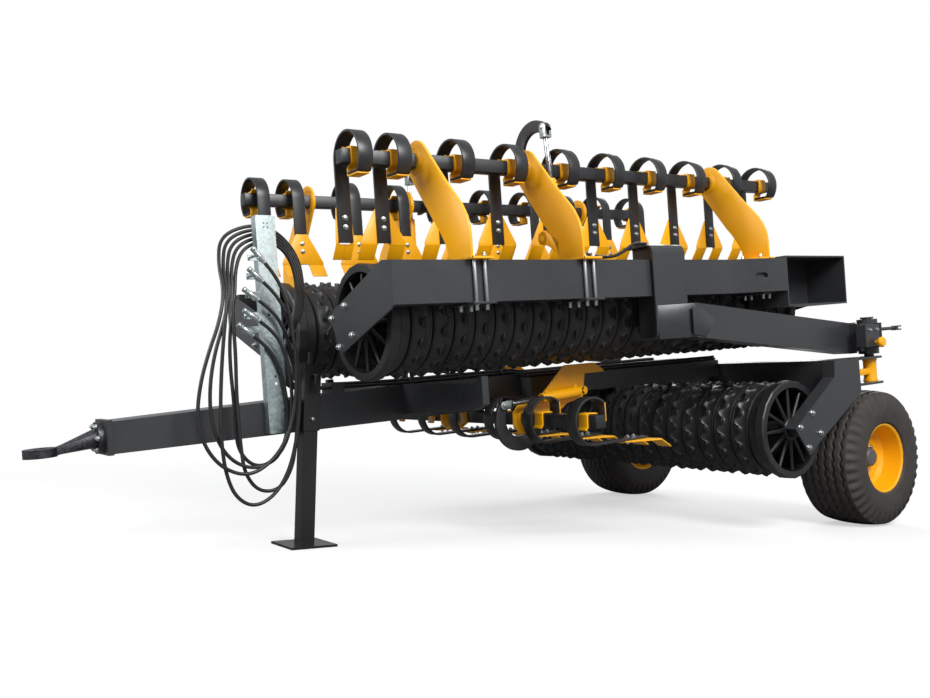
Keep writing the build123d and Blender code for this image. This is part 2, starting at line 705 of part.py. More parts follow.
def wing_carrier():
    """The folded plate round the beam, and the arm back to the fold pin."""
    bend_y = carrier_out - carrier_bend
    high_z = carrier_high - carrier_bend
    low_z = carrier_low + carrier_bend
    inner_bend = carrier_bend - carrier_wall
    outer = plate_yz([
        (beam_inner - 10.0, carrier_high),
        *arc_points(bend_y, high_z, carrier_bend, 90.0, 0.0),
        *arc_points(bend_y, low_z, carrier_bend, 0.0, -90.0),
        (beam_inner + 20.0, carrier_low),
        (beam_inner + 20.0, carrier_low + carrier_wall),
        *arc_points(bend_y, low_z, inner_bend, -90.0, 0.0),
        *arc_points(bend_y, high_z, inner_bend, 0.0, 90.0),
        (beam_inner - 10.0, carrier_high - carrier_wall),
    ], carrier_rear, carrier_front - carrier_rear)
    top_saddle = block(carrier_rear + 40.0, carrier_front - 40.0, beam_inner + 20.0, wing_beam_outer - 20.0,
                       wing_beam_top, carrier_high - carrier_wall)
    low_saddle = block(carrier_rear + 40.0, carrier_front - 40.0, beam_inner + 40.0, wing_beam_outer - 20.0,
                       carrier_low + carrier_wall, wing_beam_bottom)
    arm = plate_xz([
        (carrier_rear + 60.0, 1490.0),
        (carrier_rear + 60.0, 1300.0),
        (pivot_x + 120.0, sleeve_low + 8.0),
        (pivot_x + 40.0, sleeve_low + 8.0),
        (pivot_x + 40.0, 1318.0),
        (pivot_x + 120.0, 1318.0),
    ], arm_inner, arm_outer - arm_inner)
    hinge = rod_z(sleeve_radius, sleeve_low, pin_top - 2.0, pivot_x, pivot_y)
    web = block(pivot_x, pivot_x + 120.0, arm_outer - 20.0, pivot_y + 20.0, sleeve_low + 20.0, 1310.0)
    bore = rod_z(pivot_radius + running_clearance, sleeve_low - 5.0, pin_top + 5.0, pivot_x, pivot_y)
    latch = block(pivot_x + 10.0, pivot_x + 175.0, latch_y - 33.0, latch_y + 33.0, 1160.0, 1300.0)
    latch += block(pivot_x - 2.0, pivot_x + 10.0, latch_y - 38.0, latch_y + 38.0, 1152.0, 1308.0)
    latch += rod_x(11.0, fork_end + 50.0, pivot_x, latch_y, latch_z)
    fork = block(fork_end, fork_end + 62.0, latch_y - 18.0, latch_y + 18.0, latch_z - 15.0, latch_z + 15.0)
    fork -= block(fork_end - 1.0, fork_end + 38.0, latch_y - 19.0, latch_y + 19.0, latch_z - 6.0, latch_z + 6.0)
    fork -= rod_z(8.0, latch_z - 20.0, latch_z + 20.0, fork_end + 18.0, latch_y)
    return outer.fuse(top_saddle, low_saddle, arm, hinge, web, latch, fork) - bore


arm_thickness = 15.0
arm_foot = 436.0
head_radius = 94.0
head_y = 22.0
head_z = 6.0


def tangent_point(y, z, turn):
    """Where a line from a point touches the arm's round head, on one side of it."""
    away = math.hypot(y - head_y, z - head_z)
    angle = math.atan2(z - head_z, y - head_y) + turn * math.acos(head_radius / away)
    return (head_y + head_radius * math.cos(angle), head_z + head_radius * math.sin(angle))


def wing_bar_arms():
    """Cranked arms that carry the wing's tine bar, on base plates that overhang the beam."""
    beam_top = wing_beam_top - wing_bar_z
    outline = [
        tangent_point(286.0, -168.0, 1), (286.0, -168.0), (380.0, -270.0), (422.0, -350.0),
        (arm_foot, -440.0), (arm_foot, beam_top), (256.0, beam_top), (240.0, -460.0),
        (200.0, -390.0), (141.0, -318.0), tangent_point(141.0, -318.0, -1),
    ]
    pieces = []
    for x, behind in wing_arm_places:
        web = plate_yz([(wing_bar_y + y, wing_bar_z + z) for y, z in outline], x, arm_thickness)
        web += rod_x(head_radius, x, x + arm_thickness, wing_bar_y + head_y, wing_bar_z + head_z)
        web -= rod_x(bushing_radius + running_clearance, x - 5.0, x + arm_thickness + 5.0,
                     wing_bar_y, wing_bar_z)
        base = block(x - behind, x - behind + 135.0, beam_inner - 25.0, wing_bar_y + arm_foot,
                     wing_beam_top, wing_beam_top + 12.0)
        pieces.append(web.fuse(base))
    return pieces


# Tine bar in its own frame: the bar along X, the tines' legs hanging down on the -Y side
def tine(x):
    """A flat spring: over the bar, round, and down as a straight leg."""
    outer = tine_radius
    inner = tine_radius - tine_thickness
    middle = (outer + inner) / 2
    end = math.radians(-50.0)
    hook = (middle * math.cos(end), middle * math.sin(end))
    path = Polyline([(0, -middle, -leg_length), (0, -middle, 0)]) + ThreePointArc(
        (0, -middle, 0), (0, 0, middle), (0, middle, 0)
    ) + ThreePointArc(
        (0, middle, 0), (0, middle * math.cos(end / 2), middle * math.sin(end / 2)),
        (0, hook[0], hook[1])
    ) + Line((0, hook[0], hook[1]), (0, 4.0, hook[1]))
    section = Plane(origin=(0, -middle, -leg_length), z_dir=(0, 0, 1)) * Rectangle(tine_width, tine_thickness)
    return Pos(x, 0, 0) * sweep(section, path=path)


def paddle(x, ahead, behind):
    """A forked paddle: a fan-shaped plate bolted to the leg, with two tongues bent outwards."""
    outer = -tine_radius - paddle_plate
    fan = extrude(make_face(Polyline([
        (x - 40.0, outer, -paddle_top),
        (x + 40.0, outer, -paddle_top),
        (x + ahead, outer, 12.0 - paddle_fork),
        (x + ahead, outer, -paddle_fork),
        (x + 34.0, outer, -paddle_fork),
        (x + 10.0, outer, 40.0 - paddle_fork),
        (x - 10.0, outer, 40.0 - paddle_fork),
        (x - 34.0, outer, -paddle_fork),
        (x - behind, outer, -paddle_fork),
        (x - behind, outer, 12.0 - paddle_fork),
    ], close=True)), amount=paddle_plate, dir=(0, 1, 0))
    pieces = [fan]
    for side, reach in ((1, ahead), (-1, behind)):
        tongue = extrude(make_face(Polyline([
            (x + side * 34.0, outer, -paddle_fork),
            (x + side * 34.0, -tine_radius, -paddle_fork),
            (x + side * 34.0, -tine_radius - tongue_bend, -paddle_tip),
            (x + side * 34.0, outer - tongue_bend, -paddle_tip),
        ], close=True)), amount=reach - 34.0, dir=(side, 0, 0))
        pieces.append(tongue)
    return pieces[0].fuse(*pieces[1:])


hook_angle = math.radians(-50.0)
hook_z = (tine_radius - tine_thickness / 2) * math.sin(hook_angle)


def clamp(x):
    """The folded strap that wraps the bar and holds the end of a tine on its foot."""
    half = bar_size / 2
    foot = hook_z - tine_thickness / 2
    strap = plate_yz([
        (-48.0, half + 15.0), (-43.0, half + 23.0), (-22.0, half + 12.0), (38.0, half + 10.0),
        (half + 11.0, half + 2.0), (half + 11.0, -14.0), (38.0, -half - 11.0), (12.0, -half - 17.0),
        (0.0, -half - 29.0), (0.0, foot), (85.0, foot), (85.0, foot - 9.0), (-9.0, foot - 9.0),
        (-9.0, -half - 25.0), (4.0, -half - 11.0), (8.0, -half), (half, -half), (half, half),
        (-26.0, half), (-40.0, half + 12.0),
    ], x - clamp_width / 2, clamp_width)
    return strap


clamp_width = 66.0
lever_thickness = 20.0
lever_z = 110.0
lever_outer = 165.0
lever_inner = 105.0
pin_y = 96.0
pin_z = 218.0
pin_radius = 12.0


def lever(x):
    """A curved lever that the cylinder pulls to turn the bar."""
    outer = rod_x(lever_outer, x - lever_thickness / 2, x + lever_thickness / 2, 0.0, lever_z)
    inner = rod_x(lever_inner, x - lever_thickness, x + lever_thickness, 14.0, lever_z - 8.0)
    below_pin = plate_yz([(20.0, -220.0), (420.0, -220.0), (420.0, 438.0), (20.0, 125.0)],
                         x - lever_thickness, 2 * lever_thickness)
    eye = rod_x(28.0, x - lever_thickness / 2, x + lever_thickness / 2, pin_y, pin_z)
    return (outer - inner - below_pin).fuse(eye)


base_y = 131.0
base_z = -392.0
barrel_radius = 31.0
rod_radius = 14.0
barrel_start = 30.0
barrel_end = 335.0
barrel_floor = 20.0
rod_low = 278.0
clevis_low = 50.0
clevis_slot = 40.0
stroke_length = math.hypot(pin_y - base_y, pin_z - base_z)
ram_angle = math.degrees(math.atan2(base_y - pin_y, pin_z - base_z))


def ram(x):
    """Barrel and rod of a cylinder from its base pin up to the lever's pin."""
    at_base = Pos(x, base_y, base_z) * Rot(ram_angle, 0, 0)
    barrel = rod_z(barrel_radius, barrel_start, barrel_end, 0, 0)
    barrel += block(-14.0, 14.0, -26.0, 26.0, -26.0, barrel_start + 5.0)
    barrel -= rod_z(rod_radius + running_clearance, barrel_start + barrel_floor, barrel_end + 1.0, 0, 0)
    barrel -= rod_x(pin_radius + running_clearance, -20.0, 20.0, 0, 0)
    rod = rod_z(rod_radius, rod_low, stroke_length - clevis_low + 4.0, 0, 0)
    clevis = block(-24.0, 24.0, -22.0, 22.0, stroke_length - clevis_low, stroke_length + 26.0)
    slot_half = lever_thickness / 2 + seat_gap
    clevis -= block(-slot_half, slot_half, -30.0, 30.0, stroke_length - clevis_slot, stroke_length + 40.0)
    return at_base * barrel, at_base * (rod + clevis)


def bar_pieces(places, lever_x, bar_ends, journals):
    """Black and yellow pieces of one tine bar, in the bar's own frame."""
    bar = block(bar_ends[0], bar_ends[1], -bar_size / 2, bar_size / 2, -bar_size / 2, bar_size / 2)
    black = bar.fuse(lever(lever_x))
    tines = [tine(place) for place, _, _ in places]
    yellow = []
    for place, ahead, behind in places:
        yellow.append(paddle(place, ahead, behind))
        yellow.append(clamp(place))
    for x, width in journals:
        collar = rod_x(bushing_radius, x, x + width, 0, 0)
        collar -= block(x - 5.0, x + width + 5.0, -bar_size / 2, bar_size / 2, -bar_size / 2, bar_size / 2)
        yellow.append(collar)
    return black, tines, yellow


wing_bar_place = Pos(0, wing_bar_y, wing_bar_z)
wing_black, wing_springs, wing_yellow = bar_pieces(
    wing_tines, wing_lever_x, (190.0, 3462.0), [(x - 4.0, arm_thickness + 8.0) for x, _ in wing_arm_places]
)
wing_barrel, wing_rod = ram(wing_lever_x)
wing_drum = Pos(wing_rear, wing_roller_y, wing_roller_z) * ring_drum(wing_rings)
wing_tube = Pos(wing_rear, wing_roller_y, wing_roller_z) * spoked_tube(wing_rings, bearing_reach + 20.0)
ram_arm_x = wing_arm_places[1][0]
ram_lug = plate_yz([(wing_bar_y + y, wing_bar_z + z) for y, z in (
    (100.0, -366.0), (150.0, -352.0), (256.0, -420.0), (256.0, -500.0), (215.0, -480.0),
    (160.0, -432.0), (102.0, -420.0),
)], ram_arm_x, arm_thickness)
ram_lug += rod_x(38.0, ram_arm_x, ram_arm_x + arm_thickness, wing_bar_y + base_y, wing_bar_z + base_z)
ram_lug += rod_x(24.0, wing_lever_x + 20.0, ram_arm_x, wing_bar_y + base_y, wing_bar_z + base_z)
ram_lug += rod_x(pin_radius, wing_lever_x - 18.0, ram_arm_x, wing_bar_y + base_y, wing_bar_z + base_z)
bar_arms = wing_bar_arms()
bar_arms[1] = bar_arms[1].fuse(ram_lug)
wing_parts = {
    "wing_beam": [wing_weldment()],
    "wing_bearings": wing_bearings(),
    "wing_carrier": [wing_carrier()],
    "wing_bar_arms": bar_arms,
    "wing_rings": [wing_drum],
    "wing_roller_tube": [wing_tube],
    "wing_tine_bar": [wing_bar_place * wing_black] + [wing_bar_place * piece for piece in wing_springs],
    "wing_paddles": [wing_bar_place * piece for piece in wing_yellow],
    "wing_ram_barrel": [wing_bar_place * wing_barrel],
    "wing_ram_rod": [wing_bar_place * wing_rod],
}
for name, pieces in wing_parts.items():
    write(f"{name}_left", pieces)
    write(f"{name}_right", [mirrored(piece) for piece in pieces])

# Centre tine bar: the same bar turned crosswise, its legs laid back over the ground
centre_first = -centre_tine_spacing * (centre_tine_count - 1) / 2
centre_tines = [(centre_first + i * centre_tine_spacing, 130.0, 130.0) for i in range(centre_tine_count)]
crosswise = Plane(origin=(centre_bar_x, 0, centre_bar_z), x_dir=(0, 1, 0), z_dir=(1, 0, 0)).location
centre_black, centre_springs, centre_yellow = bar_pieces(
    centre_tines, centre_lever_y, (centre_first - 90.0, 90.0 - centre_first),
    [(y - 4.0, arm_thickness + 8.0) for y in centre_arm_places],
)
centre_barrel, centre_rod = ram(centre_lever_y)
write("centre_tine_bar", [crosswise * centre_black] + [crosswise * piece for piece in centre_springs])
write("centre_paddles", [crosswise * piece for piece in centre_yellow])
write("centre_ram_barrel", [crosswise * centre_barrel])
write("centre_ram_rod", [crosswise * centre_rod])

centre_arms = []
for y in centre_arm_places:
    web = plate_xz([
        (centre_bar_x + 84.0, centre_bar_z - 40.0),
        (centre_bar_x + 84.0, centre_bar_z + 40.0),
        (centre_bar_x + 40.0, centre_bar_z + 86.0),
        (centre_bar_x - 120.0, centre_bar_z + 110.0),
        (centre_bar_x - 330.0, leg_top + 60.0),
        (centre_bar_x - 560.0, leg_top + 60.0),
        (centre_bar_x - 640.0, leg_top + 12.0),
        (centre_bar_x - 640.0, leg_top),
        (centre_bar_x - 480.0, leg_top),
        (centre_bar_x - 450.0, centre_bar_z + 80.0),
        (centre_bar_x - 330.0, centre_bar_z + 62.0),
        (centre_bar_x - 70.0, centre_bar_z - 84.0),
        (centre_bar_x + 40.0, centre_bar_z - 84.0),
    ], y, arm_thickness)
    web -= rod_y(bushing_radius + running_clearance, y - 5.0, y + arm_thickness + 5.0,
                 centre_bar_x, centre_bar_z)
    seat_in, seat_out = (150.0, y + arm_thickness) if y > 0 else (y, -150.0)
    seat = block(centre_bar_x - 640.0, centre_bar_x - 420.0, seat_in, seat_out, leg_top, leg_top + 12.0)
    web = web.fuse(seat)
    if y > 0:
        pin_place = (centre_bar_x + base_z, centre_bar_z + base_y)
        web = web.fuse(
            rod_y(38.0, y, y + arm_thickness, *pin_place),
            rod_y(24.0, y + arm_thickness, centre_lever_y - 20.0, *pin_place),
            rod_y(pin_radius, y + arm_thickness, centre_lever_y + 18.0, *pin_place),
        )
    centre_arms.append(web)
write("centre_bar_arms", centre_arms)

print(len(written), "nodes written")
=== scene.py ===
import math

import bpy
from mathutils import Matrix, Vector


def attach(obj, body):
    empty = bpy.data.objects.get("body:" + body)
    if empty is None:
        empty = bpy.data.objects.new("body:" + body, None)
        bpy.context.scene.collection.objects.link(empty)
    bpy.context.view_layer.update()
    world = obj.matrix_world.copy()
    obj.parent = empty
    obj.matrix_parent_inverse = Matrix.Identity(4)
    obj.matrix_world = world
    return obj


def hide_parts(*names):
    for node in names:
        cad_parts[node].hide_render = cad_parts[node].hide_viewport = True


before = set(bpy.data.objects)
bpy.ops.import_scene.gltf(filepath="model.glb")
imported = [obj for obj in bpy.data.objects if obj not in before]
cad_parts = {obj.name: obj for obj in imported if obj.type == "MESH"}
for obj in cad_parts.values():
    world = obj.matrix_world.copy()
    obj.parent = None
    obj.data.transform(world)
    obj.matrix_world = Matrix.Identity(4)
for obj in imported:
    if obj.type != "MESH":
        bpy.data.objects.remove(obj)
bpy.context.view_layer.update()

# Camera. It stands low off the machine's front left corner, turned a little to its left,
# with a normal lens.
camera_place = Vector((5.583, 4.392, 0.737))
camera_right = Vector((-0.8139, 0.5807, 0.0198))
camera_up = Vector((0.0508, 0.0370, 0.9980))
camera_back = camera_right.cross(camera_up).normalized()
camera_up = camera_back.cross(camera_right).normalized()
camera_data = bpy.data.cameras.new("camera")
camera_data.sensor_width = 36.0
camera_data.lens = 34.91
camera = bpy.data.objects.new("camera", camera_data)
bpy.context.collection.objects.link(camera)
camera.matrix_world = Matrix((
    (camera_right.x, camera_up.x, camera_back.x, camera_place.x),
    (camera_right.y, camera_up.y, camera_back.y, camera_place.y),
    (camera_right.z, camera_up.z, camera_back.z, camera_place.z),
    (0.0, 0.0, 0.0, 1.0),
))
bpy.context.scene.camera = camera
bpy.context.scene.view_settings.view_transform = "Standard"

# Studio. A pale floor that keeps the soft shadow, white all round, a broad soft lamp high on
# the left and a weaker one on the right and behind.
def linear(code):
    """An sRGB hex colour as linear light."""
    channels = [int(code[i:i + 2], 16) / 255 for i in (1, 3, 5)]
    bent = [c / 12.92 if c <= 0.04045 else ((c + 0.055) / 1.055) ** 2.4 for c in channels]
    return (*bent, 1.0)


def add(tree, kind, values=None, **settings):
    """A shader node with its settings, and with values or links on its inputs."""
    made = tree.nodes.new("ShaderNode" + kind)
    for key, value in settings.items():
        setattr(made, key, value)
    for key, value in (values or {}).items():
        if isinstance(value, bpy.types.NodeSocket):
            tree.links.new(value, made.inputs[key])
        else:
            made.inputs[key].default_value = value
    return made


floor_material = bpy.data.materials.new("studio_floor")
floor_material.use_nodes = True
tree = floor_material.node_tree
tree.nodes.remove(tree.nodes["Principled BSDF"])
path = add(tree, "LightPath")
face = add(tree, "MixRGB", {
    "Fac": path.outputs["Is Camera Ray"], "Color1": linear("#7a7a7a"), "Color2": linear("#f4f4f3"),
})
matt = add(tree, "BsdfDiffuse", {"Color": face.outputs[0]})
glow = add(tree, "Emission", {"Color": (1.0, 1.0, 1.0, 1.0), "Strength": 1.0})
spot = add(tree, "TexCoord").outputs["Object"]
away = add(tree, "VectorMath", {0: spot, 1: (1.8, 0.0, 0.0)}, operation="DISTANCE")
wash = add(tree, "MapRange", {
    "Value": away.outputs["Value"], "From Min": 2.2, "From Max": 7.0, "To Min": 0.55, "To Max": 1.0,
}, interpolation_type="SMOOTHSTEP")
seen = add(tree, "Math", {0: path.outputs["Is Camera Ray"], 1: wash.outputs[0]}, operation="MULTIPLY")
mixed = add(tree, "MixShader", {
    0: seen.outputs[0], 1: matt.outputs[0], 2: glow.outputs[0],
})
tree.links.new(mixed.outputs[0], tree.nodes["Material Output"].inputs["Surface"])
bpy.ops.object.select_all(action="DESELECT")
bpy.ops.mesh.primitive_plane_add(size=60.0, location=(0.0, 0.0, 0.0))
floor = bpy.context.object
floor.name = "floor"
floor.data.materials.append(floor_material)

world = bpy.data.worlds.new("studio")
bpy.context.scene.world = world
world.use_nodes = True
tree = world.node_tree
tree.nodes.clear()
path = add(tree, "LightPath")
direct = add(tree, "Math", {
    0: path.outputs["Is Camera Ray"], 1: path.outputs["Is Transmission Ray"],
}, operation="MAXIMUM")
white = add(tree, "Background", {"Color": (1.0, 1.0, 1.0, 1.0), "Strength": 1.0})
fill = add(tree, "Background", {"Color": linear("#f3f6fa"), "Strength": 0.56})
mixed = add(tree, "MixShader", {0: direct.outputs[0], 1: fill.outputs[0], 2: white.outputs[0]})
add(tree, "OutputWorld", {"Surface": mixed.outputs[0]})

lamps = [
    # name, place, aimed at, width, height, watts
    ("key", (3.0, 6.5, 5.5), (1.4, 0.3, 1.0), 4.0, 3.0, 620.0),
    ("front", (8.5, -1.0, 3.6), (2.0, 0.0, 1.0), 3.0, 3.0, 260.0),
    ("back", (-4.5, -3.5, 5.0), (1.0, 0.0, 1.2), 4.0, 3.0, 300.0),
]
for name, place, aim, width, height, watts in lamps:
    data = bpy.data.lights.new(name, "AREA")
    data.shape = "RECTANGLE"
    data.size = width
    data.size_y = height
    data.energy = watts
    lamp = bpy.data.objects.new(name, data)
    bpy.context.collection.objects.link(lamp)
    lamp.location = place
    lamp.rotation_euler = (Vector(aim) - Vector(place)).to_track_quat("-Z", "Y").to_euler()

# Hoses. Five black rubber hydraulic hoses hang in long loops from couplers on the holder,
# go up and round behind it, and lie down on the drawbar. Each keeps to its own layer.
mm = 0.001
hose_diameter = 18.0
hose_layers = 22.0
layer_front = 172.0
layer_back = 84.0
hose_hangs = [
    # x and z down from the coupler, round the bottom of the loop and up to the holder's top
    [(3862, 1046), (3775, 990), (3715, 890), (3680, 770), (3662, 650), (3672, 530), (3725, 425),
     (3835, 400), (3918, 480), (3938, 600), (3951, 730), (3972, 870), (3982, 1000), (3978, 1120)],
    [(3850, 1222), (3765, 1170), (3700, 1070), (3655, 940), (3630, 800), (3622, 650), (3627, 510),
     (3643, 390), (3705, 288), (3814, 282), (3890, 370), (3914, 495), (3932, 630), (3948, 780),
     (3957, 940), (3975, 1100)],
    [(3852, 1118), (3770, 1070), (3710, 970), (3675, 840), (3662, 700), (3672, 560), (3730, 450),
     (3840, 393), (3957, 428), (4037, 520), (4080, 650), (4088, 800), (4070, 950), (4030, 1100)],
    [(3850, 1310), (3770, 1250), (3710, 1140), (3665, 1000), (3640, 850), (3632, 690), (3645, 530),
     (3680, 380), (3750, 265), (3855, 213), (3950, 265), (4003, 380), (4030, 530), (4040, 690),
     (4042, 850), (4038, 1000), (4030, 1140)],
    [(3852, 1400), (3790, 1340), (3735, 1235), (3700, 1110), (3675, 975), (3665, 840), (3668, 700),
     (3695, 565), (3770, 440), (3890, 365), (4020, 400), (4115, 500), (4160, 640), (4150, 800),
     (4115, 950), (4070, 1090)],
]
hose_way_back = [
    # x, z, share of the way to the back layer, how far the hoses spread in x and in z
    (3960, 1240, 0.10, 20, 0),
    (3950, 1370, 0.50, 22, 6),
    (3905, 1480, 1.00, 20, 18),
    (3815, 1535, 1.00, 6, 24),
    (3710, 1530, 1.00, -4, 24),
    (3635, 1455, 1.00, -18, 14),
    (3600, 1340, 1.00, -20, 4),
    (3600, 1215, 1.00, -20, -4),
    (3630, 1095, 1.00, -12, -2),
    (3662, 990, 1.00, -2, 0),
    (3655, 885, 1.00, 0, 0),
    (3590, 797, 1.00, 0, 0),
    (3485, 793.6, 1.00, 0, 0),
    (3385, 804.5, 1.00, 0, 0),
]

# Nitrile cover, wrapped and cured: nearly black, satin, with a faint cloth weave every 2 mm.
rubber_hose = bpy.data.materials.new("hydraulic_hose_rubber")
rubber_hose.use_nodes = True
tree = rubber_hose.node_tree
shader = tree.nodes["Principled BSDF"]
place = add(tree, "TexCoord").outputs["Object"]
dust = add(tree, "TexNoise", {"Vector": place, "Scale": 14.0, "Detail": 3.0}).outputs["Fac"]
tone = add(tree, "MixRGB", {
    "Fac": dust, "Color1": linear("#121213"), "Color2": linear("#2c2c2d"),
})
tree.links.new(tone.outputs[0], shader.inputs["Base Color"])
shader.inputs["Roughness"].default_value = 0.42
weave = add(tree, "TexNoise", {"Vector": place, "Scale": 500.0, "Detail": 2.0}).outputs["Fac"]
bump = add(tree, "Bump", {"Height": weave, "Strength": 0.25, "Distance": 0.0006})
tree.links.new(bump.outputs["Normal"], shader.inputs["Normal"])

for index, hang in enumerate(hose_hangs):
    front = layer_front + hose_layers * index
    back = layer_back - hose_layers * index
    route = [(x, front, z) for x, z in hang]
    for x, z, share, spread_x, spread_z in hose_way_back:
        route.append((x + spread_x * index, front + (back - front) * share, z + spread_z * index))
    curve = bpy.data.curves.new(f"hose_{index + 1}", "CURVE")
    curve.dimensions = "3D"
    spline = curve.splines.new("NURBS")
    spline.points.add(len(route) - 1)
    for point, (x, y, z) in zip(spline.points, route):
        point.co = (x * mm, y * mm, z * mm, 1.0)
    spline.order_u = 3
    spline.use_endpoint_u = True
    spline.resolution_u = 8
    curve.bevel_depth = hose_diameter / 2 * mm
    curve.bevel_resolution = 3
    curve.materials.append(rubber_hose)
    hose = bpy.data.objects.new(f"hose_{index + 1}", curve)
    bpy.context.collection.objects.link(hose)
    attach(hose, "frame")
    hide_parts(f"hose_{index + 1}")

# Transport wheels. 400/60-15.5 implement tyres of moulded rubber, with six zigzag grooves and
# blocks on the shoulder, on dished steel rims, painted yellow and bolted to grey cast hubs.
tyre_radius = 0.437
half_track = 1.045
tread_half = 0.160
tyre_steps = 240
groove_count = 6
groove_depth = 0.012
groove_pitch = 0.052
groove_swing = 0.008
groove_half = 0.0062
shoulder_cut = 0.014
shoulder_tuck = 0.006
zigzags = 40

# The chassis is laid out level and then pitched nose down about the axle of these wheels.
nose_down = math.radians(6.2)
pitch = (
    Matrix.Translation((0, 0, tyre_radius))
    @ Matrix.Rotation(nose_down, 4, "Y")
    @ Matrix.Translation((0, 0, -tyre_radius))
)

# Carbon black tread rubber, moulded and a little dusty: matt, and brown-grey where it is worn.
# Its grain is drawn at about 4 mm, coarser than the real one, so that it shows.
rubber = bpy.data.materials.new("tyre_rubber")
rubber.use_nodes = True
tree = rubber.node_tree
shader = tree.nodes["Principled BSDF"]
place = add(tree, "TexCoord").outputs["Object"]
dust = add(tree, "TexNoise", {"Vector": place, "Scale": 9.0, "Detail": 6.0, "Roughness": 0.65})
tone = add(tree, "MixRGB", {
    "Fac": dust.outputs["Fac"], "Color1": linear("#262321"), "Color2": linear("#47423e"),
})
tree.links.new(tone.outputs[0], shader.inputs["Base Color"])
shader.inputs["Roughness"].default_value = 0.72
grain = add(tree, "TexNoise", {"Vector": place, "Scale": 240.0, "Detail": 3.0})
bump = add(tree, "Bump", {"Height": grain.outputs["Fac"], "Strength": 0.3, "Distance": 0.001})
tree.links.new(bump.outputs["Normal"], shader.inputs["Normal"])


def finish_edges(piece, edge, angle=38.0):
    """Broken edges and smooth shading up to an angle."""
    if edge:
        bevel = piece.modifiers.new("edge", "BEVEL")
        bevel.width = edge
        bevel.segments = 2
        bevel.limit_method = "ANGLE"
        bevel.angle_limit = math.radians(34.0)
        bpy.ops.object.modifier_apply(modifier=bevel.name)
    bpy.ops.object.shade_smooth_by_angle(angle=math.radians(angle))
    return piece


def spun(name, section, centre, axis="y", steps=64, edge=0.0, angle=38.0):
    """A round piece spun from its closed section of places along the axis and radii."""
    bpy.ops.object.select_all(action="DESELECT")
    bpy.ops.mesh.primitive_circle_add(vertices=len(section), fill_type="NOTHING")
    piece = bpy.context.object
    piece.name = name
    direction = {"x": Vector((1, 0, 0)), "y": Vector((0, 1, 0)), "z": Vector((0, 0, 1))}[axis]
    side = Vector((0, 0, 1)) if axis != "z" else Vector((1, 0, 0))
    centre = Vector(centre)
    for corner, (along, radius) in zip(piece.data.vertices, section):
        corner.co = centre + direction * along + side * radius
    bpy.ops.object.mode_set(mode="EDIT")
    bpy.ops.mesh.select_all(action="SELECT")
    bpy.ops.mesh.spin(steps=steps, angle=2 * math.pi, center=centre, axis=direction)
    bpy.ops.mesh.select_all(action="SELECT")
    bpy.ops.mesh.remove_doubles(threshold=0.00002)
    bpy.ops.mesh.select_all(action="SELECT")
    bpy.ops.mesh.normals_make_consistent(inside=False)
    bpy.ops.object.mode_set(mode="OBJECT")
    return finish_edges(piece, edge, angle)


def copy_of(piece, name, matrix):
    """A copy with its own mesh, placed by a matrix."""
    copy = piece.copy()
    copy.data = piece.data.copy()
    copy.name = name
    bpy.context.collection.objects.link(copy)
    copy.data.transform(matrix)
    if matrix.determinant() < 0:
        copy.data.flip_normals()
    return copy


def welded(name, pieces):
    """Several meshes joined into one piece."""
    bpy.ops.object.select_all(action="DESELECT")
    for piece in pieces:
        piece.select_set(True)
    bpy.context.view_layer.objects.active = pieces[0]
    bpy.ops.object.join()
    joined = bpy.context.object
    joined.name = name
    return joined


def drop(*pieces):
    """Removes pieces that were only patterns for copies."""
    for piece in pieces:
        bpy.data.objects.remove(piece)


def settle(piece, material, body, replaced=(), level=False):
    """Pitches a finished piece with the chassis and gives it its finish and its body."""
    if not level:
        piece.data.transform(pitch)
    piece.data.materials.clear()
    piece.data.materials.append(material)
    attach(piece, body)
    for node_name in replaced:
        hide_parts(node_name)
    return piece


mirror_y = Matrix.Diagonal((1.0, -1.0, 1.0, 1.0))


def settle_both(piece, material, body, replaced=(), level=False):
    """Settles a left-hand piece and its mirror image on the right."""
    name = piece.name
    twin = copy_of(piece, name + "_right", mirror_y)
    piece.name = name + "_left"
    for side, one in (("left", piece), ("right", twin)):
        settle(one, material, body.format(side), [n.format(side) for n in replaced], level)


tyre_section = [
    # place across the tyre from its middle, radius
    (-0.176, 0.220), (-0.190, 0.232), (-0.197, 0.262), (-0.200, 0.300), (-0.198, 0.340),
    (-0.190, 0.378), (-0.178, 0.404), (-0.170, 0.414),
]
tread_stations = 65
for i in range(tread_stations):
    across = -tread_half + 2 * tread_half * i / (tread_stations - 1)
    crown = tyre_radius - 0.014 * (abs(across) / tread_half) ** 2.4
    tyre_section.append((across, crown))
tyre_section += [(-a, r) for a, r in reversed(tyre_section[:8])]
tyre_section += [(0.160, 0.212), (-0.160, 0.212)]
tyre = spun("tyre", tyre_section, (0, 0, 0), "y", tyre_steps, 0.0, 28.0)
for corner in tyre.data.vertices:
    radius = math.hypot(corner.co.x, corner.co.z)
    across = corner.co.y
    angle = math.atan2(corner.co.z, corner.co.x)
    depth = 0.0
    if radius > 0.418 and abs(across) <= tread_half + 0.001:
        wave = abs((angle / (2 * math.pi) * zigzags) % 1.0 - 0.5) * 4.0 - 1.0
        for groove in range(groove_count):
            middle = (groove - (groove_count - 1) / 2) * groove_pitch + groove_swing * wave
            if abs(across - middle) < groove_half:
                depth = groove_depth
    elif 0.376 < radius < 0.416 and 0.165 < abs(across) < 0.195:
        beat = (angle / (2 * math.pi) * zigzags) % 1.0
        if 0.30 < beat < 0.72:
            depth = shoulder_cut
    if depth:
        scale = (radius - depth) / radius
        corner.co.x *= scale
        corner.co.z *= scale
        if radius < 0.416:
            corner.co.y -= math.copysign(shoulder_tuck, across)
wheel_place = Matrix.Translation((0.0, half_track, tyre_radius))
tyre.data.transform(wheel_place)
settle_both(tyre, rubber, "wheel_{}", ["tyre_{}"], level=True)


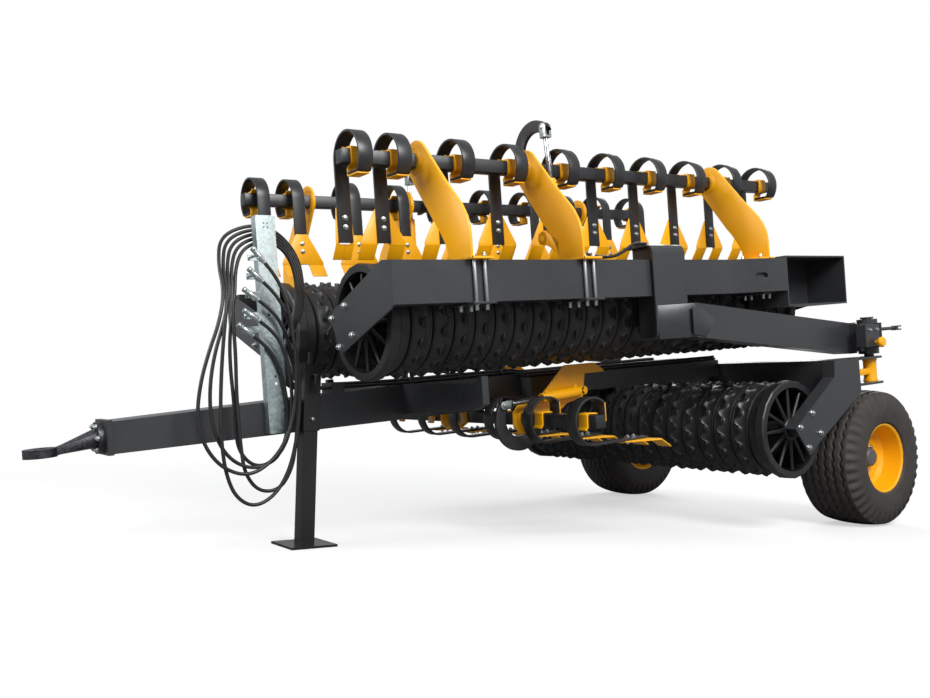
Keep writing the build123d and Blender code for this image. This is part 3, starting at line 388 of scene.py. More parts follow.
def paint(name, dark, light, roughness, peel=0.12, edge=0.003):
    """Powder coat on steel: smooth and glossy, softer in clouds of dust some 400 mm across, with
    a faint orange peel drawn at about 4 mm so that it shows."""
    material = bpy.data.materials.new(name)
    material.use_nodes = True
    tree = material.node_tree
    shader = tree.nodes["Principled BSDF"]
    place = add(tree, "TexCoord").outputs["Object"]
    cloud = add(tree, "TexNoise", {"Vector": place, "Scale": 2.6, "Detail": 5.0, "Roughness": 0.62})
    tone = add(tree, "MixRGB", {
        "Fac": cloud.outputs["Fac"], "Color1": linear(dark), "Color2": linear(light),
    })
    tree.links.new(tone.outputs[0], shader.inputs["Base Color"])
    gloss = add(tree, "MapRange", {
        "Value": cloud.outputs["Fac"], "From Min": 0.3, "From Max": 0.7,
        "To Min": roughness - 0.05, "To Max": roughness + 0.09,
    })
    tree.links.new(gloss.outputs[0], shader.inputs["Roughness"])
    grain = add(tree, "TexNoise", {"Vector": place, "Scale": 260.0, "Detail": 2.0})
    rounded = add(tree, "Bevel", {"Radius": edge}, samples=4)
    bump = add(tree, "Bump", {
        "Height": grain.outputs["Fac"], "Strength": peel, "Distance": 0.0008,
        "Normal": rounded.outputs["Normal"],
    })
    tree.links.new(bump.outputs["Normal"], shader.inputs["Normal"])
    shader.inputs["Specular IOR Level"].default_value = 0.55
    return material


# Golden yellow: bright and even, with a soft highlight along the edges.
yellow = paint("golden_yellow_powder_coat", "#f0a400", "#fbb404", 0.34)
rim = spun("rim", [
    # along the axle outwards, radius
    (-0.176, 0.209), (-0.176, 0.2205), (-0.170, 0.2205), (-0.160, 0.206), (-0.090, 0.198),
    (-0.030, 0.190), (0.040, 0.190), (0.110, 0.200), (0.160, 0.207), (0.170, 0.2205), (0.177, 0.2205),
    (0.178, 0.214), (0.170, 0.204), (0.150, 0.200), (0.100, 0.193), (0.060, 0.186), (0.040, 0.160),
    (0.044, 0.125), (0.040, 0.100), (0.034, 0.080), (0.034, 0.0), (0.020, 0.0), (0.020, 0.100),
    (0.024, 0.160), (0.000, 0.180), (-0.090, 0.190), (-0.150, 0.199),
], (0, half_track, tyre_radius), "y", 96, 0.0, 30.0)
settle_both(rim, yellow, "wheel_{}", ["rim_{}"], level=True)

# Grey enamel on the cast hubs, duller than the powder coat.
grey_enamel = paint("grey_hub_paint", "#4a4b4d", "#5a5b5d", 0.42)
hub = spun("hub", [
    (0.034, 0.0), (0.034, 0.072), (0.052, 0.070), (0.060, 0.062), (0.086, 0.058), (0.094, 0.050),
    (0.096, 0.030), (0.096, 0.0),
], (0, half_track, tyre_radius), "y", 48, 0.0015)
inner_hub = spun("inner_hub", [
    (0.014, 0.0), (0.014, 0.070), (-0.020, 0.070), (-0.030, 0.058), (-0.090, 0.054), (-0.090, 0.0),
], (0, half_track, tyre_radius), "y", 48, 0.0015)
hub = welded("hub", [hub, inner_hub])
settle_both(hub, grey_enamel, "wheel_{}", ["hub_{}"], level=True)


def metal(name, dark, light, roughness, scale, strength):
    """Bare or plated metal with a pattern of crystals, with scale of them to the metre."""
    material = bpy.data.materials.new(name)
    material.use_nodes = True
    tree = material.node_tree
    shader = tree.nodes["Principled BSDF"]
    shader.inputs["Metallic"].default_value = 1.0
    place = add(tree, "TexCoord").outputs["Object"]
    crystal = add(tree, "TexVoronoi", {"Vector": place, "Scale": scale})
    value = add(tree, "SeparateColor", {"Color": crystal.outputs["Color"]})
    tone = add(tree, "MixRGB", {
        "Fac": value.outputs[0], "Color1": linear(dark), "Color2": linear(light),
    })
    tree.links.new(tone.outputs[0], shader.inputs["Base Color"])
    gloss = add(tree, "MapRange", {
        "Value": value.outputs[1], "To Min": roughness - 0.06, "To Max": roughness + 0.08,
    })
    tree.links.new(gloss.outputs[0], shader.inputs["Roughness"])
    rounded = add(tree, "Bevel", {"Radius": 0.0015}, samples=4)
    bump = add(tree, "Bump", {
        "Height": value.outputs[2], "Strength": strength, "Distance": 0.0004,
        "Normal": rounded.outputs["Normal"],
    })
    tree.links.new(bump.outputs["Normal"], shader.inputs["Normal"])
    return material


def rod(name, start, end, radius, sides=24, edge=0.0015):
    """A round bar between two points."""
    start, end = Vector(start), Vector(end)
    bpy.ops.object.select_all(action="DESELECT")
    bpy.ops.mesh.primitive_cylinder_add(
        vertices=sides, radius=radius, depth=(end - start).length,
        location=(start + end) / 2,
        rotation=(end - start).to_track_quat("Z", "Y").to_euler(),
    )
    piece = bpy.context.object
    piece.name = name
    bpy.ops.object.transform_apply(location=True, rotation=True, scale=True)
    return finish_edges(piece, edge)


def dome_bolt(radius):
    """A zinc plated hexagon bolt head on its washer, standing on the XY plane."""
    washer = spun("washer", [
        (0.0, 0.0), (0.0, radius * 1.15), (radius * 0.18, radius * 1.15), (radius * 0.18, 0.0),
    ], (0, 0, 0), "z", 20)
    bpy.ops.mesh.primitive_cylinder_add(
        vertices=6, radius=radius, depth=radius * 0.75, location=(0, 0, radius * 0.55)
    )
    head = bpy.context.object
    bpy.ops.object.transform_apply(location=True, rotation=True, scale=True)
    finish_edges(head, radius * 0.10)
    stud = rod("stud", (0, 0, radius * 0.9), (0, 0, radius * 1.35), radius * 0.45, 12, radius * 0.08)
    return welded("bolt", [washer, head, stud])


def facing(place, normal, turn=0.0):
    """The matrix that stands a bolt on a place, along a normal."""
    turned = Vector(normal).to_track_quat("Z", "Y").to_matrix().to_4x4()
    return Matrix.Translation(place) @ turned @ Matrix.Rotation(turn, 4, "Z")


# Zinc plate on bolts and fittings: bright and bluish, with crystals of 1.4 mm that hardly show.
zinc = metal("zinc_plated_steel", "#b4b9b9", "#cdd2d2", 0.32, 700.0, 0.02)
bolt = dome_bolt(0.013)
nuts = []
nut_circle = 0.094
disc_face = half_track + 0.038
for i in range(6):
    a = 2 * math.pi * i / 6 + 0.3
    spot = (nut_circle * math.cos(a), disc_face, tyre_radius + nut_circle * math.sin(a))
    nuts.append(copy_of(bolt, "nut", facing(spot, (0, 1, 0), a)))
drop(bolt)
settle_both(welded("wheel_nuts", nuts), zinc, "wheel_{}", level=True)

# Rollers. Cast iron rings stand side by side on a tube: each has a wavy crest of lugs that
# lean left and right in turn, and the rings at a gang's ends are smooth, with twelve spokes.
# Black paint that the castings are dipped in: a dull half gloss over their rough skin.
ring_black = paint("dipped_ring_iron", "#19191a", "#2b2b2d", 0.42, peel=0.5)
ring_pitch = 0.126
ring_root = 0.262
ring_bore = 0.236
lug_pairs = 17
ring_steps = 204
ring_section = [
    # along the roller, outer radius
    (0.002, ring_root - 0.004), (0.006, ring_root + 0.004), (0.012, ring_root + 0.004),
    (0.017, ring_root), (0.034, 0.264), (0.048, 0.272), (0.056, 0.283), (0.0595, 0.2925),
    (0.0665, 0.2925), (0.070, 0.283), (0.078, 0.272), (0.092, 0.264), (0.109, ring_root),
    (0.114, ring_root + 0.004), (0.120, ring_root + 0.004), (0.124, ring_root - 0.004),
    (0.124, ring_bore), (0.002, ring_bore),
]
ring = spun("ring", ring_section, (0, 0, 0), "x", ring_steps, 0.0, 40.0)
for corner in ring.data.vertices:
    radius = math.hypot(corner.co.y, corner.co.z)
    angle = math.atan2(corner.co.z, corner.co.y)
    weight = min(max((radius - 0.267) / 0.018, 0.0), 1.0)
    wave = math.sin(lug_pairs * angle)
    corner.co.x += 0.017 * weight * math.copysign(abs(wave) ** 0.7, wave)
    lift = -0.012 * weight * (1.0 - abs(wave) ** 0.8)
    corner.co.y *= 1 + lift / radius
    corner.co.z *= 1 + lift / radius

end_sides = 20
end_section = [
    (0.0, 0.250), (0.0, 0.286), (0.006, 0.2935), (0.052, 0.2935), (0.060, 0.286), (0.066, 0.262),
    (0.124, 0.258), (0.124, 0.238), (0.058, 0.242), (0.030, 0.247),
]
end_ring = spun("end_ring", end_section, (0, 0, 0), "x", end_sides * 6, 0.0, 12.0)
for corner in end_ring.data.vertices:
    radius = math.hypot(corner.co.y, corner.co.z)
    if radius > 0.270:
        angle = math.atan2(corner.co.z, corner.co.y)
        part = 2 * math.pi / end_sides
        flat = math.cos(part / 2) / math.cos((angle % part) - part / 2)
        corner.co.y *= flat
        corner.co.z *= flat
spokes = [spun("spoke_hub", [
    (0.004, 0.046), (0.004, 0.058), (0.012, 0.066), (0.040, 0.068), (0.048, 0.058), (0.048, 0.046),
], (0, 0, 0), "x", 36, 0.001)]
for i in range(12):
    a = 2 * math.pi * i / 12
    out = Vector((0.0, math.cos(a), math.sin(a)))
    bpy.ops.object.select_all(action="DESELECT")
    bpy.ops.mesh.primitive_cone_add(
        vertices=12, radius1=0.0135, radius2=0.0095, depth=0.190,
        location=out * 0.147 + Vector((0.026, 0, 0)), rotation=out.to_track_quat("Z", "Y").to_euler(),
    )
    spoke = bpy.context.object
    bpy.ops.object.transform_apply(location=True, rotation=True, scale=True)
    spokes.append(finish_edges(spoke, 0.0))
spokes = welded("spokes", spokes)


def gang(name, count, place):
    """One roller gang's rings in a row, each turned a little from the last."""
    rings = []
    for i in range(1, count - 1):
        turn = Matrix.Rotation(math.radians(53.0 * i), 4, "X")
        rings.append(copy_of(ring, "ring", place @ Matrix.Translation((i * ring_pitch, 0, 0)) @ turn))
    turned_about = Matrix.Rotation(math.pi, 4, "Z")
    rings.append(copy_of(end_ring, "ring", place))
    far = Matrix.Translation((count * ring_pitch, 0, 0)) @ turned_about
    rings.append(copy_of(end_ring, "ring", place @ far))
    tube = rod("tube", (-0.020, 0, 0), (count * ring_pitch + 0.020, 0, 0), 0.045, 40, 0.0)
    tube.data.transform(place)
    tubes = [tube, copy_of(spokes, "spokes", place), copy_of(spokes, "spokes", place @ far)]
    return welded(name, rings), welded(name + "_tube", tubes)


wing_rings = 25
wing_roller_y = 0.498
wing_roller_z = 1.487
wing_roller_front = 3.349
wing_roller_rear = wing_roller_front - wing_rings * ring_pitch
centre_rings = 18
centre_roller = Vector((0.825, 0.0, 0.708))
wing_place = Matrix.Translation((wing_roller_rear, wing_roller_y, wing_roller_z))
wing_gang, wing_tube = gang("wing_gang", wing_rings, wing_place)
settle_both(wing_gang, ring_black, "wing_roller_{}", ["wing_rings_{}"])
settle_both(wing_tube, ring_black, "wing_roller_{}", ["wing_roller_tube_{}"])
crosswise = Matrix.Translation(centre_roller) @ Matrix.Rotation(math.pi / 2, 4, "Z")
half_gang = centre_rings * ring_pitch / 2
centre_place = crosswise @ Matrix.Translation((-half_gang, 0, 0))
centre_gang, centre_tube = gang("centre_gang", centre_rings, centre_place)
settle(centre_gang, ring_black, "centre_roller", ["centre_rings"])
settle(centre_tube, ring_black, "centre_roller", ["centre_roller_tube"])
drop(ring, end_ring, spokes)

# Tine bars. A square bar carries flat springs: each is a band of spring steel bent round the
# bar and down as a straight leg, held by a yellow strap, with a forked yellow paddle below.
# The springs' baked coat: nearly black, half gloss, a shade lighter than the rings.
spring_black = paint("black_spring_coat", "#1c1c1e", "#2c2c2e", 0.34)


def plate(name, outline, low, high, across="x", edge=0.0015):
    """A plate cut to an outline across one axis, from low to high along it."""
    lay = {
        "x": lambda a, b, c: (c, a, b),
        "y": lambda a, b, c: (a, c, b),
        "z": lambda a, b, c: (a, b, c),
    }[across]
    bpy.ops.object.select_all(action="DESELECT")
    bpy.ops.mesh.primitive_circle_add(vertices=len(outline), fill_type="NGON")
    piece = bpy.context.object
    piece.name = name
    for corner, (a, b) in zip(piece.data.vertices, outline):
        corner.co = lay(a, b, low)
    bpy.ops.object.mode_set(mode="EDIT")
    bpy.ops.mesh.select_all(action="SELECT")
    bpy.ops.mesh.extrude_region_move(
        TRANSFORM_OT_translate={"value": lay(0.0, 0.0, high - low)}
    )
    bpy.ops.mesh.select_all(action="SELECT")
    bpy.ops.mesh.normals_make_consistent(inside=False)
    bpy.ops.object.mode_set(mode="OBJECT")
    return finish_edges(piece, edge)


def arc(centre, radius, start, end, steps):
    """Points along an arc, its angles in degrees from the first axis."""
    points = []
    for i in range(steps + 1):
        a = math.radians(start + (end - start) * i / steps)
        points.append((centre[0] + radius * math.cos(a), centre[1] + radius * math.sin(a)))
    return points


tine_outer = 0.130
band = 0.012
leg_length = 0.395
hook_angle = -40.0
inner_radius = tine_outer - band
hook_low = math.sin(math.radians(hook_angle)) * (tine_outer - band / 2) - band / 2
band_outline = [(-tine_outer, -leg_length)]
band_outline += arc((0, 0), tine_outer, 180.0, hook_angle, 40)
band_outline += [(0.004, hook_low), (0.004, hook_low + band)]
band_outline += arc((0, 0), inner_radius, hook_angle, 180.0, 40)
band_outline += [(-inner_radius, -leg_length)]
tine_half = 0.038
tine = plate("tine", band_outline, -tine_half, tine_half, "x", 0.0015)

bar_half = 0.035
strap_outline = [(-0.048, 0.050)]
strap_outline += [(-0.045, 0.056), (-0.040, 0.057), (-0.030, 0.050), (-0.022, 0.047), (0.034, 0.046)]
strap_outline += arc((0.034, 0.034), 0.012, 80.0, 0.0, 4)
strap_outline += [(0.046, -0.010), (0.043, -0.028), (0.034, -0.040), (0.018, -0.046)]
strap_outline += arc((0.012, -0.058), 0.012, 90.0, 180.0, 4)
strap_outline += [(0.0, -0.0865), (0.092, -0.0865), (0.092, -0.0950), (-0.003, -0.0950)]
strap_outline += arc((-0.003, -0.089), 0.006, -100.0, -180.0, 3)
strap_outline += [(-0.009, -0.056), (0.004, -0.044), (0.008, -bar_half), (bar_half, -bar_half)]
strap_outline += [(bar_half, bar_half), (-0.026, bar_half), (-0.040, 0.047)]
strap = plate("strap", strap_outline, -0.033, 0.033, "x", 0.002)

paddle_top = -0.218
paddle_fork = -0.402
paddle_tip = -0.472
paddle_plate = 0.008
tongue_bend = 0.046


def paddle(ahead, behind):
    """A forked paddle bolted to the leg, with two tongues bent outwards."""
    face = -tine_outer
    fan = plate("fan", [
        (-0.034, paddle_top), (0.034, paddle_top), (0.040, paddle_top - 0.006),
        (ahead, paddle_fork + 0.018), (ahead, paddle_fork), (0.036, paddle_fork),
        (0.030, paddle_fork + 0.008), (-0.030, paddle_fork + 0.008),
        (-0.036, paddle_fork), (-behind, paddle_fork), (-behind, paddle_fork + 0.018),
        (-0.040, paddle_top - 0.006),
    ], face - paddle_plate, face, "y", 0.0012)
    parts = [fan]
    for side, reach in ((1, ahead), (-1, behind)):
        low, high = sorted((side * (0.036 if reach > 0.1 else 0.0), side * reach))
        parts.append(plate("tongue", [
            (face, paddle_fork + 0.001), (face - paddle_plate, paddle_fork + 0.001),
            (face - paddle_plate - tongue_bend, paddle_tip), (face - tongue_bend, paddle_tip),
        ], low, high, "x", 0.0012))
    return welded("paddle", parts)


wing_tines = [
    # place along the bar, width of the paddle ahead and behind
    (3.387, 0.050, 0.050), (3.169, 0.130, 0.130), (2.789, 0.130, 0.130), (2.439, 0.130, 0.130),
    (2.064, 0.130, 0.130), (1.711, 0.130, 0.130), (1.356, 0.130, 0.130), (0.999, 0.130, 0.130),
    (0.647, 0.130, 0.130), (0.279, 0.130, 0.130),
]
centre_tines = [((i - 2.5) * 0.360, 0.130, 0.130) for i in range(6)]
lever_half = 0.010
lever_z = 0.110
lever_outer = 0.165
lever_inner = 0.105
lever_outline = arc((0.0, lever_z), lever_outer, 276.0, 38.0, 40)
lever_outline += arc((0.096, 0.218), 0.028, 60.0, -60.0, 6)
lever_outline += arc((0.014, lever_z - 0.008), lever_inner, 52.0, 262.0, 34)
collar_radius = 0.062
arm_plate = 0.015
wing_arms = [
    # x of the arm, how far its base plate reaches behind it
    (3.030, 0.120), (2.325, 0.120), (0.795, 0.050),
]
centre_arms = (-0.374, 0.360)
wing_lever = 2.240
centre_lever = 0.445
bolt = dome_bolt(0.012)


def tine_bar(name, places, ends, arms, lever_x, place):
    """Bar, bands, straps, paddles and bolts of one tine bar, placed by a matrix."""
    dark = [plate("bar", [
        (-bar_half, -bar_half), (bar_half, -bar_half), (bar_half, bar_half), (-bar_half, bar_half),
    ], ends[0], ends[1], "x", 0.005)]
    dark.append(plate("lever", lever_outline, lever_x - lever_half, lever_x + lever_half, "x", 0.002))
    bright = []
    bolts = []
    for x, ahead, behind in places:
        along = Matrix.Translation((x, 0, 0))
        dark.append(copy_of(tine, "band", along))
        bright.append(copy_of(strap, "strap", along))
        one = paddle(ahead, behind)
        one.data.transform(along)
        bright.append(one)
        for bolt_z in (-0.273, -0.319):
            bolts.append(copy_of(bolt, "bolt", facing((x, -inner_radius, bolt_z), (0, 1, 0))))
            spot = (x, -tine_outer - paddle_plate, bolt_z)
            bolts.append(copy_of(bolt, "bolt", facing(spot, (0, -1, 0), 0.4)))
    for x in arms:
        bright.append(spun("collar", [
            (-0.004, 0.036), (-0.004, collar_radius), (arm_plate + 0.004, collar_radius),
            (arm_plate + 0.004, 0.036),
        ], (x, 0, 0), "x", 48, 0.002))
    made = [welded(name + "_bar", dark), welded(name + "_paddles", bright), welded(name + "_bolts", bolts)]
    for piece in made:
        piece.data.transform(place)
    return made


wing_bar_y = 0.599
wing_bar_z = 2.278
wing_bar_place = Matrix.Translation((0.0, wing_bar_y, wing_bar_z))
wing_bar = tine_bar(
    "wing", wing_tines, (0.190, 3.462), [x for x, _ in wing_arms], wing_lever, wing_bar_place
)
settle_both(wing_bar[0], spring_black, "tine_bar_{}", ["wing_tine_bar_{}"])
settle_both(wing_bar[1], yellow, "tine_bar_{}", ["wing_paddles_{}"])
settle_both(wing_bar[2], zinc, "tine_bar_{}")
centre_bar_x = 2.250
centre_bar_z = 0.899
centre_bar_place = Matrix((
    (0.0, 0.0, 1.0, centre_bar_x),
    (1.0, 0.0, 0.0, 0.0),
    (0.0, 1.0, 0.0, centre_bar_z),
    (0.0, 0.0, 0.0, 1.0),
))
centre_bar = tine_bar(
    "centre", centre_tines, (-0.990, 0.990), centre_arms, centre_lever, centre_bar_place
)
settle(centre_bar[0], spring_black, "tine_bar_centre", ["centre_tine_bar"])
settle(centre_bar[1], yellow, "tine_bar_centre", ["centre_paddles"])
settle(centre_bar[2], zinc, "tine_bar_centre")
drop(tine, strap)

# Tine bar arms. Each wing has three cranked yellow plate arms with round heads, welded to base
# plates that two pairs of long zinc studs clamp to the beam.
# The chassis colour: a dark grey powder coat with wide, soft reflections.
charcoal = paint("charcoal_powder_coat", "#2b2c2e", "#3a3b3d", 0.30)
head_radius = 0.094
head_place = (0.022, 0.006)
beam_top = 1.741
beam_low = 1.541
beam_outer = 0.987
beam_inner = 0.807
foot = 0.436
foot_z = beam_top - wing_bar_z


def tangent_angle(y, z, turn):
    """Where a line from a point touches the round head, as an angle in degrees."""
    away = math.hypot(y - head_place[0], z - head_place[1])
    lean = math.atan2(z - head_place[1], y - head_place[0])
    return math.degrees(lean + turn * math.acos(head_radius / away))


arm_outline = arc(head_place, head_radius, tangent_angle(0.286, -0.168, 1),
                  tangent_angle(0.141, -0.318, -1) + 360.0, 26)
arm_outline += [(0.141, -0.318)]
arm_outline += [(0.172, -0.354), (0.202, -0.396), (0.226, -0.434), (0.242, -0.472), (0.256, foot_z)]
arm_outline += [(foot, foot_z), (foot, -0.440)]
arm_outline += [(0.433, -0.396), (0.424, -0.356), (0.406, -0.315), (0.380, -0.272), (0.330, -0.215)]
arm_outline += [(0.286, -0.168)]
lug_outline = [
    (0.100, -0.366), (0.150, -0.352), (0.256, -0.420), (0.256, -0.500), (0.232, -0.484),
    (0.200, -0.456), (0.160, -0.434), (0.102, -0.420),
]
base_pin = (0.131, -0.392)
stud_inner = beam_outer - 0.120 - wing_bar_y
stud_outer = beam_outer + 0.011 - wing_bar_y
arms = []
studs = []
clamps = []
for index, (x, behind) in enumerate(wing_arms):
    web = plate("web", arm_outline, x, x + arm_plate, "x", 0.003)
    hole = spun("bushing", [
        (-0.003, collar_radius + 0.0005), (-0.003, collar_radius + 0.007),
        (arm_plate + 0.003, collar_radius + 0.007), (arm_plate + 0.003, collar_radius + 0.0005),
    ], (x, 0, 0), "x", 48, 0.0015)
    base = plate("base", [
        (x - behind, beam_inner - 0.025 - wing_bar_y), (x - behind + 0.135, beam_inner - 0.025 - wing_bar_y),
        (x - behind + 0.135, foot), (x - behind, foot),
    ], foot_z, foot_z + 0.012, "z", 0.002)
    arms += [web, hole, base]
    low_plate = plate("low_plate", [
        (x - behind, stud_inner - 0.022), (x - behind + 0.135, stud_inner - 0.022),
        (x - behind + 0.135, foot), (x - behind, foot),
    ], beam_low - wing_bar_z - 0.012, beam_low - wing_bar_z, "z", 0.002)
    clamps.append(low_plate)
    for stud_x in (x - behind + 0.033, x - behind + 0.094):
        for stud_y in (stud_inner, stud_outer):
            low = (stud_x, stud_y, beam_low - wing_bar_z - 0.040)
            high = (stud_x, stud_y, foot_z + 0.034)
            studs.append(rod("stud", low, high, 0.010, 16, 0.001))
            top_nut = facing((stud_x, stud_y, foot_z + 0.012), (0, 0, 1))
            low_nut = facing((stud_x, stud_y, beam_low - wing_bar_z - 0.012), (0, 0, -1))
            studs.append(copy_of(bolt, "nut", top_nut))
            studs.append(copy_of(bolt, "nut", low_nut))
ram_arm = wing_arms[1][0]
arms.append(plate("ram_lug", lug_outline, ram_arm, ram_arm + arm_plate, "x", 0.002))
arms.append(spun("ram_lug_end", [
    (0.0, 0.013), (0.0, 0.038), (arm_plate, 0.038), (arm_plate, 0.013),
], (ram_arm, *base_pin), "x", 32, 0.002))
arms.append(rod("ram_boss", (wing_lever + 0.020, *base_pin), (ram_arm, *base_pin), 0.024))
arms.append(rod("ram_pin", (wing_lever - 0.018, *base_pin), (ram_arm, *base_pin), 0.012))
arms = welded("wing_bar_arms", arms)
arms.data.transform(wing_bar_place)
settle_both(arms, yellow, "wing_{}", ["wing_bar_arms_{}"])
clamps = welded("wing_arm_clamps", clamps)
clamps.data.transform(wing_bar_place)
settle_both(clamps, charcoal, "wing_{}")
studs = welded("wing_arm_studs", studs)
studs.data.transform(wing_bar_place)
settle_both(studs, zinc, "wing_{}")

# Bar cylinders. A steel barrel painted yellow, a chrome plated rod and a zinc plated clevis turn
# each tine bar by its lever. The pin through the clevis rides on the lever.
# Hard chrome on the rods: smooth and bright, it mirrors what stands round it.
chrome = metal("hard_chrome", "#8e9093", "#a4a6a9", 0.20, 40.0, 0.0)
ram_length = math.hypot(0.096 - base_pin[0], 0.218 - base_pin[1])
ram_lean = math.atan2(base_pin[0] - 0.096, 0.218 - base_pin[1])


def ram(name, lever_x, place):
    """Barrel, rod, clevis and pin of one cylinder, placed by a matrix."""
    barrel = spun("barrel", [
        (0.030, 0.0), (0.030, 0.026), (0.034, 0.031), (0.296, 0.031), (0.300, 0.028), (0.326, 0.028),
        (0.326, 0.015), (0.296, 0.015), (0.296, 0.0),
    ], (0, 0, 0), "z", 40, 0.001)
    eye = spun("eye", [
        (-0.014, 0.0125), (-0.014, 0.026), (0.014, 0.026), (0.014, 0.0125),
    ], (0, 0, 0), "x", 32, 0.0015)
    port = rod("port", (0.0, 0.026, 0.060), (0.0, 0.044, 0.060), 0.011, 16)
    second = rod("port", (0.0, 0.026, 0.285), (0.0, 0.044, 0.285), 0.011, 16)
    neck = plate("neck", [(-0.026, 0.0), (0.026, 0.0), (0.026, 0.034), (-0.026, 0.034)],
                 -0.014, 0.014, "x", 0.002)
    body = welded(name + "_barrel", [barrel, eye, port, second, neck])
    shaft = rod("shaft", (0, 0, 0.278), (0, 0, ram_length - 0.052), 0.014, 32)
    cheeks = []
    for low, high in ((-0.024, -0.0103), (0.0103, 0.024)):
        cheek_outline = arc((0.0, ram_length), 0.024, 0.0, 180.0, 12)
        cheek_outline += [(-0.022, ram_length - 0.058), (0.022, ram_length - 0.058)]
        cheeks.append(plate("cheek", cheek_outline, low, high, "x", 0.002))
    cheeks.append(plate("clevis_root", [
        (-0.022, ram_length - 0.058), (0.022, ram_length - 0.058), (0.022, ram_length - 0.048),
        (-0.022, ram_length - 0.048),
    ], -0.024, 0.024, "x", 0.001))
    clevis = welded(name + "_clevis", cheeks)
    at_base = (
        place @ Matrix.Translation((lever_x, *base_pin)) @ Matrix.Rotation(ram_lean, 4, "X")
    )
    for piece in (body, shaft, clevis):
        piece.data.transform(at_base)
    shaft.name = name + "_rod"
    pin = rod(name + "_pin", (lever_x - 0.031, 0.096, 0.218), (lever_x + 0.031, 0.096, 0.218), 0.011, 20)
    pin.data.transform(place)
    return body, shaft, clevis, pin


body, shaft, clevis, pin = ram("wing_ram", wing_lever, wing_bar_place)
settle_both(body, yellow, "ram_barrel_{}", ["wing_ram_barrel_{}"])
settle_both(shaft, chrome, "ram_rod_{}", ["wing_ram_rod_{}"])
settle_both(clevis, zinc, "ram_rod_{}", ["wing_ram_rod_{}"])
settle_both(pin, zinc, "tine_bar_{}")
body, shaft, clevis, pin = ram("centre_ram", centre_lever, centre_bar_place)
settle(body, yellow, "ram_barrel_centre", ["centre_ram_barrel"])
settle(shaft, chrome, "ram_rod_centre", ["centre_ram_rod"])
settle(clevis, zinc, "ram_rod_centre", ["centre_ram_rod"])
settle(pin, zinc, "tine_bar_centre")

# Bearing bolts. Zinc plated hexagon bolts, four to a bearing, hold the flanged roller bearings to
# the brackets at the wings' front ends and to the end plates of the centre.
big_bolt = dome_bolt(0.0155)
bracket_face = 3.450
bearing_bolts = []
for y, z in ((0.535, 1.571), (0.396, 1.518), (0.592, 1.427), (0.454, 1.375)):
    bearing_bolts.append(copy_of(big_bolt, "bolt", facing((bracket_face, y, z), (1, 0, 0), 0.3)))
settle_both(welded("wing_bearing_bolts", bearing_bolts), zinc, "wing_{}")
end_plate_face = 1.250
bolt_circle = 0.102
end_bolts = []
for corner in range(4):
    a = math.radians(15.0 + 90.0 * corner)
    forward = centre_roller.x + bolt_circle * math.cos(a)
    spot = (forward, end_plate_face, centre_roller.z + bolt_circle * math.sin(a))
    end_bolts.append(copy_of(big_bolt, "bolt", facing(spot, (0, 1, 0), 0.5)))
settle_both(welded("centre_bearing_bolts", end_bolts), zinc, "frame")

# Fold hinges. Two plate lugs, welded behind each end of the centre beam and painted with it, hold
# the fold pin, and a turned spool painted yellow sits round the pin between them.
pivot = (0.020, 1.172)
lug_shape = [
    (0.270, 1.240), (-0.010, 1.240), (-0.036, 1.226), (-0.050, 1.202), (-0.050, 1.122), (0.270, 1.052),
]
lugs = [
    plate("lug", lug_shape, 0.920, 0.934, "z", 0.002),
    plate("lug", lug_shape, 1.082, 1.096, "z", 0.002),
    rod("fold_pin", (*pivot, 0.921), (*pivot, 1.336), 0.030, 40),
    rod("fold_cap", (*pivot, 1.336), (*pivot, 1.348), 0.046, 6),
]
settle_both(welded("fold_lugs", lugs), charcoal, "frame", ["fold_hinges"])
spool = spun("spool", [
    (0.934, 0.031), (0.934, 0.044), (0.944, 0.044), (0.956, 0.040), (1.060, 0.040), (1.072, 0.044),
    (1.082, 0.044), (1.082, 0.031),
], (*pivot, 0.0), "z", 40, 0.001)
stop = plate("stop", [
    (0.040, 1.152), (0.270, 1.152), (0.270, 1.192), (0.040, 1.192),
], 0.980, 1.020, "z", 0.003)
settle_both(welded("fold_spool", [spool, stop]), yellow, "frame", ["fold_hinges"])

# Latch. A moulded yellow knob and two zinc plated bolts stand on the outer face of the steel
# latch box at the rear of each wing's arm.
latch_face = 1.263
knob = spun("latch_knob", [
    (0.0, 0.0), (0.0, 0.012), (0.020, 0.012), (0.022, 0.026), (0.030, 0.032), (0.044, 0.032),
    (0.052, 0.026), (0.054, 0.0),
], (0.085, latch_face, 1.185), "y", 32, 0.0)
settle_both(knob, yellow, "wing_{}")
latch_bolts = [
    copy_of(bolt, "bolt", facing((x, latch_face, 1.265), (0, 1, 0))) for x in (0.070, 0.150)
]
settle_both(welded("latch_bolts", latch_bolts), zinc, "wing_{}")

# Couplers. Turned and zinc plated steel quick couplers are screwed on the hoses' ends. Each sits
# on a post from one of the holder's fingers.
couplers = []
for layer, hang in enumerate(hose_hangs):
    y = layer_front + hose_layers * layer
    start = Vector((hang[0][0], y, hang[0][1])) * mm
    up = (start - Vector((hang[1][0], y, hang[1][1])) * mm).normalized()
    coupler = spun("coupler", [
        (0.0003, 0.0), (0.0003, 0.0115), (0.012, 0.0135), (0.018, 0.0135), (0.019, 0.0172),
        (0.041, 0.0172), (0.042, 0.0140), (0.060, 0.0140), (0.062, 0.0125), (0.078, 0.0125),
        (0.080, 0.0138), (0.092, 0.0138), (0.095, 0.0118), (0.095, 0.0),
    ], (0, 0, 0), "z", 24, 0.0)
    coupler.data.transform(facing(start, up))
    couplers.append(coupler)
settle(welded("couplers", couplers), zinc, "frame", level=True)

